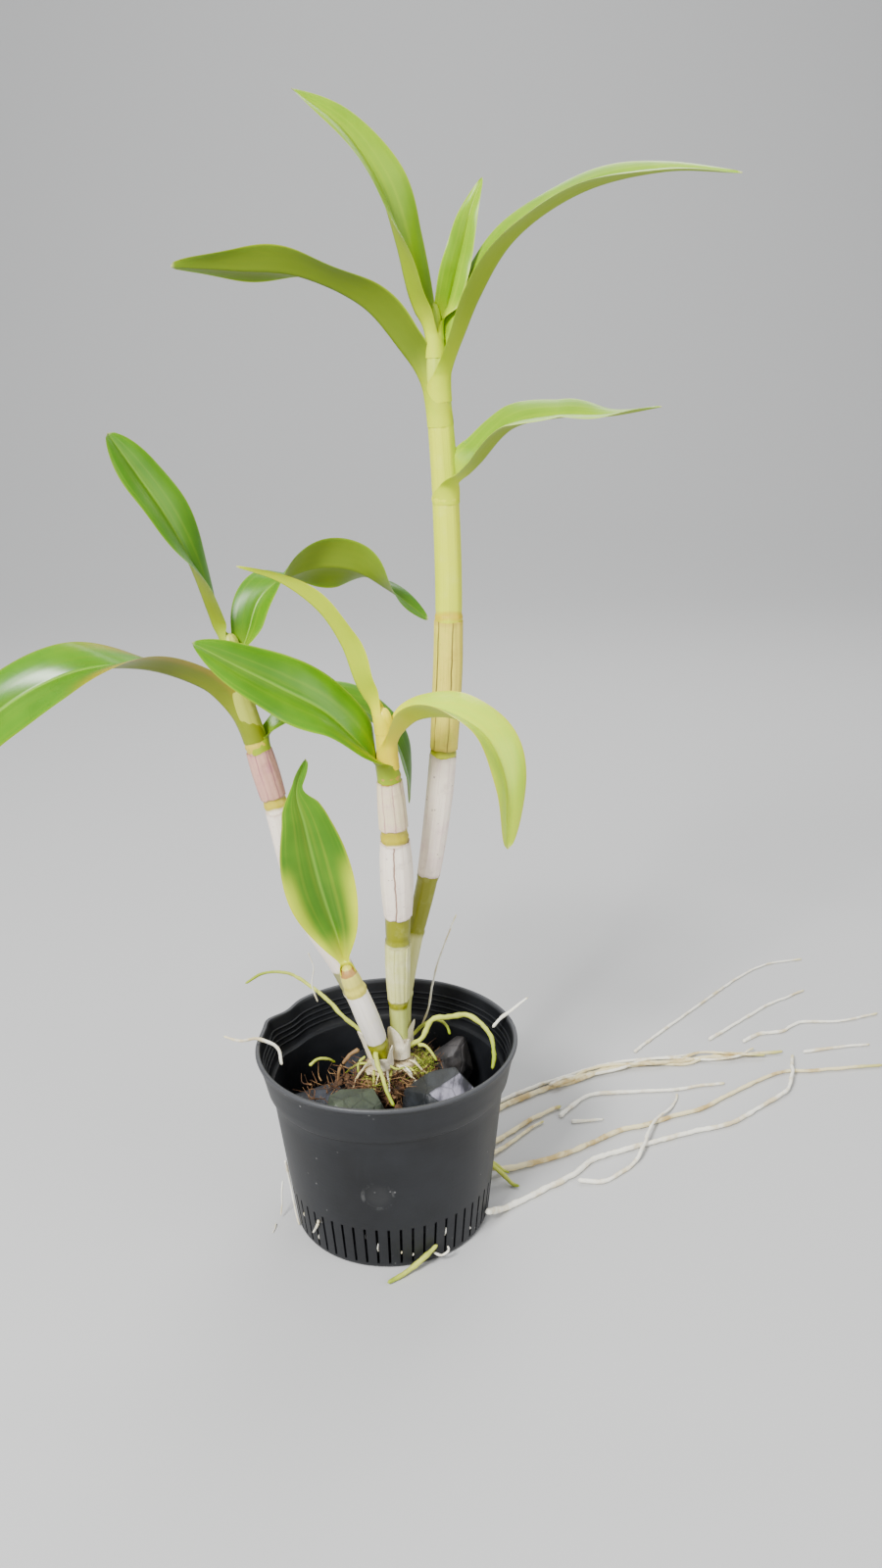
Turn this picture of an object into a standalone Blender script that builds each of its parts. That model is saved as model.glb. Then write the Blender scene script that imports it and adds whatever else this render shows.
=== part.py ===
"""A potted cane orchid: a slotted nursery pot, charcoal, fibre, four canes, their leaves and roots.

Metres, +Z up. The origin is the centre of the pot's underside, +X to the plant's right and +Y to its
back. Every node is one closed solid.
"""

import math
import random

import bmesh
import bpy
from mathutils import Matrix, Vector

MM = 0.001

# Pot
POT_HEIGHT = 98 * MM
RIM_RADIUS = 65 * MM
FOOT_RADIUS = 49.5 * MM
SHOULDER_RADIUS = 58 * MM  # the body just under the collar's ledge
COLLAR_DEPTH = 21 * MM  # from the rim's top down to the ledge
LEDGE = 2.2 * MM  # how far the collar stands out past the body
WALL = 1.1 * MM
LIP = 1.0 * MM  # how far the lip stands out past the collar
LIP_DEPTH = 2.4 * MM
FLOOR = 1.8 * MM
FOOT_ROUNDING = 2.0 * MM
SLIT_COUNT = 56
SLIT_WIDTH = 1.2 * MM
SLIT_LOW = 3.0 * MM
SLIT_HIGH = 24 * MM
DRAIN_COUNT = 8
DRAIN_RADIUS = 3.5 * MM
DRAIN_RING = 30 * MM
CENTRE_PAD = 20 * MM  # flat disc under the pot that it rests on
FOOT_RING = 7 * MM  # width of the flat ring at the foot's edge
RECESS = 0.8 * MM  # how far the floor is raised between disc and ring

# Filling
GAP = 0.3 * MM  # between pieces that touch
FILL_LEVEL = 17 * MM  # the fibre's top below the rim
FIBRE_RADIUS = 19 * MM
FIBRE_DEPTH = 48 * MM
LUMP_CLEARANCE = 0.6 * MM
LUMP_POINTS = 26  # drawn on an ellipsoid, then joined into one convex lump
LUMP_FLAT = 0.75  # the share of the ellipsoid's height that is kept, so that tops are flat
CROWN_THICKNESS = 6 * MM
CROWN_RADIUS = 12 * MM
CROWN_LOBE = 1.6 * MM  # how far its lobes stand out and its hollows in

# Plant
LEAF_THICKNESS = 1.3 * MM
LEAF_CLEARANCE = 1.6 * MM  # between a leaf's base and its cane's skin
SHEATH_THICKNESS = 0.5 * MM
CANE_SIDES = 10
LEAF_STATIONS = 16
RING_PITCH = 9 * MM
FLOOR_CLEARANCE = 0.15 * MM  # under the roots that lie beside the pot
ROOT_START = 13 * MM  # from the pot's axis to where the roots over the filling are counted from
ROOT_TIP = 0.55  # a root's radius at its end, as a share of its radius at its start
ROOT_SIDES = 6
ROOT_PITCH = 3.5  # a root's ring spacing in diameters


# ---------------------------------------------------------------- shared tools

def material(name, colour, roughness, metallic=0.0):
    """A Principled material, made once and shared by the pieces of one stuff."""
    found = bpy.data.materials.get(name)
    if found:
        return found
    made = bpy.data.materials.new(name)
    made.use_nodes = True
    shader = made.node_tree.nodes["Principled BSDF"]
    shader.inputs["Base Color"].default_value = (*colour, 1.0)
    shader.inputs["Roughness"].default_value = roughness
    shader.inputs["Metallic"].default_value = metallic
    return made


def plastic():
    return material("pot_plastic", (0.035, 0.037, 0.042), 0.45)


def charcoal():
    return material("charcoal", (0.05, 0.055, 0.06), 0.6)


def fibre():
    return material("fibre", (0.12, 0.07, 0.035), 0.9)


def leaf_green():
    return material("leaf", (0.22, 0.36, 0.05), 0.4)


def cane_green():
    return material("cane", (0.45, 0.5, 0.16), 0.5)


def papery():
    return material("sheath", (0.78, 0.74, 0.64), 0.7)


def root_white():
    return material("root", (0.74, 0.71, 0.55), 0.7)


def add_object(name, bm, finish, smooth=True):
    """Turns a finished bmesh into one named object with its material."""
    bmesh.ops.recalc_face_normals(bm, faces=bm.faces[:])
    mesh = bpy.data.meshes.new(name)
    bm.to_mesh(mesh)
    bm.free()
    if smooth:
        mesh.shade_smooth()
        mesh.set_sharp_from_angle(angle=math.radians(40))
    mesh.materials.append(finish)
    obj = bpy.data.objects.new(name, mesh)
    bpy.context.scene.collection.objects.link(obj)
    return obj


def rolled_grid(place, around, along):
    """A grid rolled into a closed skin: place(u, v) gives the point at u round it and v along it.

    The column and row layers keep each vertex's number round the skin and along it.
    """
    bm = bmesh.new()
    column, row = bm.verts.layers.int.new("column"), bm.verts.layers.int.new("row")
    bmesh.ops.create_grid(bm, x_segments=around, y_segments=along, size=0.5)
    for vert in bm.verts:
        vert[column] = round((vert.co.x + 0.5) * around) % around
        vert[row] = round((vert.co.y + 0.5) * along)
        vert.co = place(vert[column] / around, vert[row] / along)
    bmesh.ops.remove_doubles(bm, verts=bm.verts[:], dist=2e-6)
    bmesh.ops.holes_fill(bm, edges=bm.edges[:], sides=0)
    return bm


def wrapped_grid(name, place, around, along, finish):
    """The rolled grid as a named object."""
    return add_object(name, rolled_grid(place, around, along), finish)


def curve_point(points, t):
    """The point at t, 0 to 1, on a smooth curve through evenly numbered points of any dimension."""
    last = len(points) - 1
    place = min(max(t, 0.0), 1.0) * last
    i = min(int(place), last - 1)
    f = place - i
    b, c = points[i], points[i + 1]
    a = points[i - 1] if i > 0 else [2 * p - q for p, q in zip(b, c)]
    d = points[i + 2] if i + 2 <= last else [2 * q - p for p, q in zip(b, c)]
    return [
        0.5 * (2 * q + (r - p) * f + (2 * p - 5 * q + 4 * r - s) * f**2 + (3 * q - p - 3 * r + s) * f**3)
        for p, q, r, s in zip(a, b, c, d)
    ]


def curve_value(values, t):
    """The same smooth reading of a plain list of numbers."""
    return curve_point([(value,) for value in values], t)[0]


def direction(points, t):
    """The unit tangent of the curve at t."""
    step = 0.004
    ahead, behind = curve_point(points, min(t + step, 1)), curve_point(points, max(t - step, 0))
    return (Vector(ahead) - Vector(behind)).normalized()


def across(tangent, level):
    """Two directions at right angles to the tangent: side, as near as can be to level, and its normal."""
    side = (level - level.dot(tangent) * tangent).normalized()
    return side, tangent.cross(side)


def polar(bearing, radius, height):
    """A point from its bearing in degrees round the pot's axis."""
    turn = math.radians(bearing)
    return Vector((radius * math.cos(turn), radius * math.sin(turn), height))


# ---------------------------------------------------------------- pot

def body_radius(height):
    """The pot's outer radius below the collar."""
    return FOOT_RADIUS + (SHOULDER_RADIUS - FOOT_RADIUS) * height / (POT_HEIGHT - COLLAR_DEPTH)


def inner_radius(height):
    """The radius of the space inside the pot at a height."""
    if height > POT_HEIGHT - COLLAR_DEPTH:
        return SHOULDER_RADIUS - WALL
    return body_radius(height) - WALL


def build_pot():
    """The pot turned from its section, with slits low in the wall and drain holes in the floor."""
    ledge = POT_HEIGHT - COLLAR_DEPTH
    low_collar = SHOULDER_RADIUS + LEDGE
    high_collar = RIM_RADIUS - LIP
    recess_out = FOOT_RADIUS - FOOT_RING
    section = [
        (0, 0),
        (CENTRE_PAD, 0),
        (CENTRE_PAD + RECESS, RECESS),
        (recess_out - RECESS, RECESS),
        (recess_out, 0),
        (FOOT_RADIUS - FOOT_ROUNDING, 0),
        (body_radius(FOOT_ROUNDING), FOOT_ROUNDING),
        (SHOULDER_RADIUS, ledge),
        (low_collar, ledge + 0.8 * MM),
        (high_collar, POT_HEIGHT - LIP_DEPTH),
        (RIM_RADIUS, POT_HEIGHT - LIP_DEPTH + 0.6 * MM),
        (RIM_RADIUS, POT_HEIGHT),
        (high_collar - WALL, POT_HEIGHT),
        (low_collar - WALL, ledge + WALL),
        (SHOULDER_RADIUS - WALL, ledge),
        (inner_radius(FLOOR + RECESS), FLOOR + RECESS),
        (0, FLOOR + RECESS),
    ]
    bm = bmesh.new()
    verts = [bm.verts.new((radius, 0, height)) for radius, height in section]
    edges = [bm.edges.new(pair) for pair in zip(verts, verts[1:])]
    bmesh.ops.spin(
        bm,
        geom=verts + edges,
        cent=(0, 0, 0),
        axis=(0, 0, 1),
        angle=math.tau,
        steps=SLIT_COUNT,
        use_merge=True,
    )
    bmesh.ops.remove_doubles(bm, verts=bm.verts[:], dist=2e-6)
    turn = Matrix.Rotation(math.pi / SLIT_COUNT, 3, "Z")
    bmesh.ops.rotate(bm, verts=bm.verts[:], cent=(0, 0, 0), matrix=turn)
    pot = add_object("pot", bm, plastic())

    cutter = bmesh.new()
    for slit in range(SLIT_COUNT):
        box = bmesh.ops.create_cube(cutter, size=1)["verts"]
        depth = FOOT_RADIUS * 0.5
        bmesh.ops.scale(cutter, verts=box, vec=(depth, SLIT_WIDTH, SLIT_HIGH - SLIT_LOW))
        bmesh.ops.translate(cutter, verts=box, vec=(FOOT_RADIUS, 0, (SLIT_HIGH + SLIT_LOW) / 2))
        spin = Matrix.Rotation(math.tau * slit / SLIT_COUNT, 3, "Z")
        bmesh.ops.rotate(cutter, verts=box, cent=(0, 0, 0), matrix=spin)
    for drain in range(DRAIN_COUNT):
        spot = polar(360 * (drain + 0.5) / DRAIN_COUNT, DRAIN_RING, 0)
        bmesh.ops.create_cone(
            cutter,
            cap_ends=True,
            segments=10,
            radius1=DRAIN_RADIUS,
            radius2=DRAIN_RADIUS,
            depth=FLOOR * 6,
            matrix=Matrix.Translation(spot),
        )
    cutters = add_object("pot_cutters", cutter, plastic(), smooth=False)
    cutters.hide_render = True
    cutters.display_type = "WIRE"
    cut = pot.modifiers.new("slits_and_drains", "BOOLEAN")
    cut.object = cutters
    cut.solver = "EXACT"


# ---------------------------------------------------------------- filling

def build_fibre():
    """The plug of bark fibre and old roots under the crown, a lumpy tapered drum."""
    top = POT_HEIGHT - FILL_LEVEL
    shares = (0.0, 0.55, 0.9, 1.0, 0.97, 0.9, 0.8, 0.0)
    heights = (0.0, 0.0, 0.12, 0.4, 0.7, 0.88, 1.0, 1.0)

    def place(u, v):
        i = round(v * (len(shares) - 1))
        lumps = 0.06 * math.sin(4 * math.tau * u + 5 * heights[i]) - 0.06
        radius = FIBRE_RADIUS * shares[i] * (1 + lumps)
        return polar(360 * u, radius, top - FIBRE_DEPTH * (1 - heights[i]))

    wrapped_grid("fibre_plug", place, 20, len(shares) - 1, fibre())


def lump(name, bearing, low, high, ring, seed, inside=FIBRE_RADIUS, wide=1.0, tilt=0.0):
    """One broken piece of charcoal, its corners on an ellipsoid that fits its share of a ring."""
    wall = inner_radius(low) - LUMP_CLEARANCE
    inner = inside + LUMP_CLEARANCE
    middle = (wall + inner) / 2
    deep = (wall - inner) / 2
    half = math.pi / ring
    room = middle * math.sin(half) - LUMP_CLEARANCE
    across_half = math.sqrt(max(room**2 - (deep * math.sin(half)) ** 2, 0)) / math.cos(half) * wide
    draw = random.Random(seed)
    bm = bmesh.new()
    for _ in range(LUMP_POINTS):
        spot = Vector((draw.gauss(0, 1), draw.gauss(0, 1), draw.gauss(0, 1))).normalized()
        flat = Vector((spot.x, spot.y, max(min(spot.z, LUMP_FLAT), -LUMP_FLAT) / LUMP_FLAT))
        bm.verts.new((flat.x * deep, flat.y * across_half, flat.z * (high - low) / 2))
    hull = bmesh.ops.convex_hull(bm, input=bm.verts[:])
    spare = set(hull["geom_interior"] + hull["geom_unused"])
    loose = [part for part in spare if isinstance(part, bmesh.types.BMVert)]
    bmesh.ops.delete(bm, geom=loose, context="VERTS")
    place = Matrix.Translation(polar(bearing, middle, (low + high) / 2))
    place @= Matrix.Rotation(math.radians(bearing), 4, "Z") @ Matrix.Rotation(math.radians(tilt), 4, "Y")
    bmesh.ops.transform(bm, matrix=place, verts=bm.verts[:])
    add_object(name, bm, charcoal(), smooth=False)


def build_charcoal():
    """Two full rings of lumps, and the top ones that show between crown and rim."""
    floor = FLOOR + RECESS + GAP
    top = POT_HEIGHT - FILL_LEVEL
    middle = floor + (top - floor) * 0.36
    upper = floor + (top - floor) * 0.70
    for i in range(4):
        lump(f"charcoal_low_{i + 1}", 90 * i + 20, floor, middle - GAP, 4, i, inside=8 * MM)
    for i in range(4):
        lump(f"charcoal_mid_{i + 1}", 90 * i - 20, middle, upper - GAP, 4, 10 + i)
    for name, bearing, rise, ring, seed, wide in (
        ("charcoal_front_right", -46, 9, 4.6, 21, 0.95),
        ("charcoal_front_left", -115, 6, 6.4, 22, 0.95),
        ("charcoal_left", -172, -9, 6.4, 23, 0.9),
        ("charcoal_right", 38, 1, 7.0, 24, 0.9),
        ("charcoal_back", 100, -16, 5.0, 25, 0.9),
    ):
        lump(name, bearing, upper, top + rise * MM, ring, seed, wide=wide)


def build_crown():
    """The short woody rhizome that the canes stand on."""
    low = POT_HEIGHT - FILL_LEVEL + GAP

    def place(u, v):
        swell = math.sin(math.pi * v) ** 0.45
        radius = (CROWN_RADIUS + CROWN_LOBE * math.cos(3 * math.tau * u)) * swell
        return polar(360 * u, radius, low + CROWN_THICKNESS * (1 - math.cos(math.pi * v)) / 2)

    wrapped_grid("crown", place, 16, 6, fibre())


# ---------------------------------------------------------------- canes and their sheaths

class Cane:
    """A cane's middle line, in millimetres up from the crown's top, and its radius along it."""

    def __init__(self, name, route, radii):
        self.name = name
        crown_top = POT_HEIGHT - FILL_LEVEL + GAP + CROWN_THICKNESS + GAP
        self.route = [(x * MM, y * MM, crown_top + z * MM) for x, y, z in route]
        self.radii = [radius * MM for radius in radii]
        self.height = route[-1][2]

    def at(self, t):
        return Vector(curve_point(self.route, t))

    def radius(self, t):
        return max(curve_value(self.radii, t), 0.4 * MM)

    def share(self, rise):
        """The curve's t at a rise in millimetres above the crown."""
        low, high = 0.0, 1.0
        target = self.route[0][2] + rise * MM
        for _ in range(30):
            middle = (low + high) / 2
            if self.at(middle).z < target:
                low = middle
            else:
                high = middle
        return low

    def skin(self, u, t, extra=0.0):
        tangent = direction(self.route, t)
        side, normal = across(tangent, Vector((0, 1, 0)))
        turn = math.tau * u
        out = side * math.cos(turn) + normal * math.sin(turn)
        return self.at(t) + out * (self.radius(t) + extra)

    def build(self):
        rings = max(round((self.route[-1][2] - self.route[0][2]) / RING_PITCH), 4)
        wrapped_grid(self.name, self.skin, CANE_SIDES, rings, cane_green())

    def sheath(self, name, low, high, ruffle=0.0):
        """A thin sleeve round the cane between two rises, a gap clear of it."""
        start, end = self.share(low), self.share(high)
        rings = max(round((high - low) * MM / RING_PITCH), 2)
        steps = 2 * rings + 2

        def place(u, v):
            i = round(v * steps) % steps
            outer = i <= rings
            level = i if outer else steps - 1 - i
            flare = ruffle * math.sin(math.pi * level / rings)
            extra = GAP + flare + (SHEATH_THICKNESS if outer else 0)
            return self.skin(u, start + (end - start) * level / rings, extra)

        wrapped_grid(name, place, CANE_SIDES, steps, papery())


# ---------------------------------------------------------------- leaves

def blade_share(v, widest, base):
    """Half-width along a leaf as a share of its widest: narrow at the base, lance-shaped to the tip."""
    power = 1.3
    up, down = power * widest, power * (1 - widest)
    peak = widest**up * (1 - widest) ** down
    return v**up * (1 - v) ** down / peak + base * (1 - v) ** 3


def cut_blade(bm):
    """Cuts every four-sided face of a blade from its rib at one station to its edge at the next.

    The upper and lower faces then bend alike where the leaf twists, and never pass through each other.
    """
    column, row = bm.verts.layers.int["column"], bm.verts.layers.int["row"]
    for face in [face for face in bm.faces if len(face.verts) == 4]:
        low = min(vert[row] for vert in face.verts)
        rib = [vert for vert in face.verts if vert[row] == low and vert[column] % 2]
        edge = [vert for vert in face.verts if vert[row] > low and not vert[column] % 2]
        if len(rib) == len(edge) == 1:
            bmesh.utils.face_split(face, rib[0], edge[0])


def build_leaf(name, cane, rise, bearing, reach, width, rolls, folds, widest=0.45, base=0.22):
    """A leaf from its cane: reach holds the middle line's points, in millimetres from the base.

    bearing is the way it grows, rolls turn the blade about its middle line and folds lift its two
    halves, both in degrees at even stations from base to tip.
    """
    t = cane.share(rise)
    out = polar(bearing, cane.radius(t) + LEAF_CLEARANCE + LEAF_THICKNESS / 2, 0)
    root = cane.at(t) + out
    line = [tuple(root)] + [tuple(root + Vector(point) * MM) for point in reach]
    level = polar(bearing + 90, 1, 0)

    def place(u, v):
        side, normal = across(direction(line, v), level)
        roll, fold = math.radians(curve_value(rolls, v)), math.radians(curve_value(folds, v))
        turned = side * math.cos(roll) + normal * math.sin(roll)
        raised = normal * math.cos(roll) - side * math.sin(roll)
        half = width * MM / 2 * blade_share(v, widest, base)
        thick = LEAF_THICKNESS * (1 - v**3) / 2
        corner = round(u * 4) % 4
        middle = Vector(curve_point(line, v))
        if corner % 2:
            return middle + raised * (thick if corner == 1 else -thick)
        wing = 1 if corner == 0 else -1
        return middle + turned * (wing * half * math.cos(fold)) + raised * half * math.sin(fold)

    bm = rolled_grid(place, 4, LEAF_STATIONS)
    cut_blade(bm)
    add_object(name, bm, leaf_green())


# ---------------------------------------------------------------- roots

def build_root(name, radius, points):
    """One tapering root, closed at both ends, along a smooth curve through its points."""
    bm = bmesh.new()
    length = sum((Vector(a) - Vector(b)).length for a, b in zip(points, points[1:]))
    steps = max(round(length / (ROOT_PITCH * 2 * radius)), 3)
    rings = []
    for i in range(steps + 1):
        t = i / steps
        tangent = direction(points, t)
        level = Vector((0, 0, 1)) if abs(tangent.z) < 0.85 else Vector((1, 0, 0))
        side, normal = across(tangent, level)
        size = radius * (1 - (1 - ROOT_TIP) * t)
        facing = Matrix((normal, side, tangent)).transposed().to_4x4()
        ring = bmesh.ops.create_circle(
            bm,
            segments=ROOT_SIDES,
            radius=size,
            matrix=Matrix.Translation(curve_point(points, t)) @ facing,
        )["verts"]
        rings.append([edge for vert in ring for edge in vert.link_edges])
    rings = [list(dict.fromkeys(ring)) for ring in rings]
    for lower, higher in zip(rings, rings[1:]):
        bmesh.ops.bridge_loops(bm, edges=lower + higher)
    for ring in (rings[0], rings[-1]):
        bmesh.ops.contextual_create(bm, geom=ring)
    add_object(name, bm, root_white())


def beside_pot(radius, route):
    """Points on the ground: bearing in degrees, millimetres out from the pot's foot, and any lift."""
    return [
        polar(bearing, body_radius(lift * MM) + out * MM, radius * MM + FLOOR_CLEARANCE + lift * MM)
        for bearing, out, lift in route
    ]


def within_pot(route):
    """Points above the filling, as bearing, share and millimetres over the rim.

    The share runs from 0 beside the crown to 1 at the wall and 2 at the rim's edge, and on past it.
    """
    wall = inner_radius(POT_HEIGHT)
    to_wall, to_rim = wall - ROOT_START, RIM_RADIUS - wall
    return [
        polar(
            bearing,
            ROOT_START + to_wall * min(share, 1) + to_rim * max(share - 1, 0),
            POT_HEIGHT + over * MM,
        )
        for bearing, share, over in route
    ]


# ---------------------------------------------------------------- the plant's own shapes

TALL = Cane(
    "tall_cane",
    [(7.5, 10, 0), (8.5, 13, 25), (14.5, 15, 57), (23.5, 16, 95), (31.2, 18, 150), (35.3, 18, 215),
     (35, 15, 275), (32.5, 12, 322), (32, 11, 352)],
    [4.2, 4.3, 4.5, 5.1, 5.9, 6.1, 5.9, 5.0, 1.6],
)
MIDDLE = Cane(
    "middle_cane",
    [(6.4, -1, 0), (6.4, 1, 22), (6.8, -1, 50), (8, -5, 82), (8, -8, 115), (6.6, -12, 150), (4.5, -14, 184)],
    [4.0, 4.4, 5.2, 6.2, 6.4, 5.2, 3.6],
)
LEFT = Cane(
    "left_cane",
    [(-5, 2, 0), (-10, 1, 22), (-20.5, 0, 50), (-36, 0, 81), (-45, 0, 125), (-53, 0, 160), (-60, 0, 190),
     (-63, 0, 216)],
    [4.2, 5.0, 5.4, 5.4, 5.4, 5.4, 4.8, 3.6],
)
SHORT = Cane(
    "short_cane",
    [(-1.5, -9, 0), (-4, -11, 14), (-9, -14, 32), (-15, -17, 52), (-17, -18, 60)],
    [4.0, 5.0, 5.6, 4.6, 2.6],
)
CANES = (TALL, MIDDLE, LEFT, SHORT)

# name, cane, rise from and to, how far its middle stands off
SHEATHS = (
    ("tall_papery_sheath", TALL, 92, 151, 0.2 * MM),
    ("tall_ribbed_sheath", TALL, 154, 216, 0.2 * MM),
    ("middle_lower_sheath", MIDDLE, 34, 62, 0.2 * MM),
    ("middle_papery_sheath", MIDDLE, 80, 118, 0.9 * MM),
    ("middle_striped_sheath", MIDDLE, 126, 150, 0.2 * MM),
    ("left_papery_sheath", LEFT, 98, 131, 0.3 * MM),
    ("left_upper_sheath", LEFT, 139, 160, 0.2 * MM),
)

# name, cane, rise, bearing, middle line, width, rolls, folds, widest, base
LEAVES = (
    ("leaf_top_left", TALL, 342, 190,
     [(-5, -1, 13), (-10, -3, 34), (-17, -6, 55), (-30, -9, 74), (-49, -12, 88)],
     28, (-20, -20, -38, -46, -34), (50, 35, 30, 25, 10), 0.45, 0.12),
    ("leaf_top_centre", TALL, 346, 30,
     [(3, 1, 9), (6, 2, 20), (9, 3, 31), (12, 4, 42), (17, 5, 54)],
     14, (50, 50, 48, 43, 37), (50, 40, 35, 30, 10), 0.4, 0.12),
    ("leaf_top_right", TALL, 326, -20,
     [(11, -3, 27), (27, -5, 50), (54, -7, 66), (86, -10, 72), (116, -14, 70)],
     26, (40, 25, 22, 20, 20), (40, 30, 25, 20, 10), 0.42, 0.12),
    ("leaf_top_arching", TALL, 322, 175,
     [(-8, 1, 12), (-24, 3, 30), (-50, 5, 42), (-78, 8, 45), (-105, 11, 47)],
     26, (30, 30, 16, 36, 36), (50, 30, 25, 20, 10), 0.5, 0.12),
    ("leaf_upper_right", TALL, 278, -44,
     [(9, -4, 9), (23, -5, 23), (43, -6, 27), (64, -8, 27), (86, -10, 30)],
     26, (50, 48, 28, 14, 8), (35, 25, 20, 15, 10), 0.42, 0.12),
    ("leaf_middle_left", MIDDLE, 158, 225,
     [(-7, -4, 11), (-21, -7, 27), (-39, -11, 39), (-57, -14, 50), (-74, -17, 61)],
     32, (-30, -55, -66, -68, -65), (30, 20, 12, 10, 8), 0.5, 0.12),
    ("leaf_middle_right", MIDDLE, 170, -30,
     [(9, -4, 10), (25, -10, 12), (39, -16, 4), (47, -22, -15), (47, -28, -43)],
     29, (43, 5, 2, 7, 11), (45, 35, 25, 18, 10), 0.55, 0.12),
    ("leaf_middle_narrow", MIDDLE, 184, 160,
     [(-5, -4, 13), (-10, -8, 30), (-19, -13, 46), (-34, -18, 59), (-51, -22, 66)],
     19, (35, 37, 41, 38, 32), (50, 45, 40, 35, 20), 0.45, 0.12),
    ("leaf_left_upright", LEFT, 214, 160,
     [(-3, -1, 13), (-9, -2, 33), (-18, -4, 54), (-28, -6, 72), (-38, -8, 89)],
     27, (45, 33, 0, -17, -15), (40, 25, 18, 15, 8), 0.6, 0.12),
    ("leaf_left_arching", LEFT, 208, 20,
     [(8, 5, 22), (27, 13, 33), (47, 21, 32), (65, 28, 20), (82, 34, 5)],
     27, (52, 10, 30, 28, 36), (40, 25, 20, 15, 8), 0.5, 0.12),
    ("leaf_left_drooping", LEFT, 180, 190,
     [(-11, -3, 13), (-36, -7, 23), (-66, -11, 22), (-98, -15, 7), (-124, -19, -20)],
     32, (36, 25, 20, 50, 52), (40, 25, 18, 12, 8), 0.6, 0.12),
    ("leaf_left_hidden", LEFT, 168, 25,
     [(18, 7, 12), (39, 13, 8), (54, 18, -6), (61, 21, -25), (62, 25, -44)],
     26, (20, 22, 30, 34, 29), (40, 25, 20, 15, 10), 0.5, 0.12),
    ("leaf_front", SHORT, 59, 100,
     [(-2, -4, 20), (-5, -8, 42), (-9, -12, 64), (-11, -15, 85), (-8, -17, 105)],
     34, (-10, -10, -5, 5, 15), (45, 30, 18, 12, 10), 0.5, 0.1),
)

# name, radius in millimetres, then points: bearing, millimetres out from the pot's foot, lift
GROUND_ROOTS = (
    ("root_near", 1.5, [(-24, 2, 8), (-12, 7, 2), (-4, 14, 0), (7, 36, 0), (11.5, 50, 0), (16, 62, 0),
                        (17.2, 80, 0), (17.8, 102, 0), (18.2, 127, 0), (18.2, 152, 0), (20.4, 178, 0),
                        (22, 200, 1), (24.4, 212, 3.2), (26.6, 221, 2.4), (28.6, 231, 0)]),
    ("root_near_branch", 1.1, [(7.5, 49, 1), (6.4, 62, 0), (9, 73, 0), (11.5, 82, 0), (14.5, 90, 2.6),
                               (19.4, 100, 3.6), (23, 110, 3), (25.6, 124, 1), (27.2, 133, 0),
                               (29.6, 142, 0)]),
    ("root_middle", 1.4, [(23, 2, 6), (22, 14, 1), (21.4, 32, 0), (22.2, 58, 0), (24, 78, 0), (24.6, 92, 0),
                          (23.9, 104, 0), (24, 125, 0), (23.8, 146, 0), (25, 168, 0), (26, 192, 0),
                          (26.2, 212, 0), (24.4, 232, 0), (23.2, 252, 0), (22, 272, 0)]),
    ("root_cross", 1.2, [(38, 70, 0), (39.4, 84, 0), (39.6, 100, 0), (35.4, 119, 0), (31.2, 141, 0),
                         (29.4, 159, 0), (28, 174, 0)]),
    ("root_pair_left", 1.5, [(37, 2, 12), (40, 12, 3), (42, 28, 0), (42.5, 51, 0), (42, 66, 0),
                             (41, 78, 0)]),
    ("root_pair_right", 1.2, [(31, 2, 10), (34.5, 12, 2), (37, 28, 0), (39, 46, 0), (39.4, 60, 0)]),
    ("root_far", 1.6, [(60, 2, 13), (60, 12, 4), (58, 28, 0), (55, 50, 0), (51.5, 70, 0), (48.8, 88, 0),
                       (46.8, 102, 0), (45, 116, 0), (43, 132, 0), (39.6, 152, 0), (36.6, 168, 0),
                       (34.8, 184, 0), (32.9, 199, 0), (31.2, 215, 0), (29.8, 229, 0)]),
    ("root_far_braid", 1.2, [(64, 2, 9), (64, 14, 2), (62, 30, 0), (58, 50, 0), (54.5, 70, 0),
                             (51.4, 88, 0), (48.8, 104, 0), (47, 118, 0), (44.8, 134, 0), (41.6, 152, 0),
                             (38.6, 168, 0), (36.6, 184, 0)]),
    ("root_far_thin", 0.9, [(44, 157, 0), (44.6, 184, 0), (45, 227, 0), (45.3, 264, 0), (45.3, 298, 0),
                            (44.6, 322, 0), (42.6, 345, 0)]),
    ("root_far_upper_tip", 1.0, [(38.2, 203, 0), (38.6, 233, 0), (38.9, 267, 0), (38.6, 286, 0),
                                 (38.3, 305, 0)]),
    ("root_far_lower_tip", 1.1, [(34.8, 218, 0), (34.8, 234, 0), (33.6, 248, 0), (33.7, 267, 0),
                                 (31.4, 288, 0), (30.2, 318, 0)]),
    ("root_green_tip", 1.3, [(16, 2.2, 12), (15.5, 6, 8), (13, 11, 3), (10.5, 15, 0), (8.5, 18, 0)]),
    ("root_front", 1.5, [(-64, 2.2, 10), (-70, 2.6, 6), (-77, 4, 2), (-85, 8, 0), (-91, 12, 0)]),
)

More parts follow.
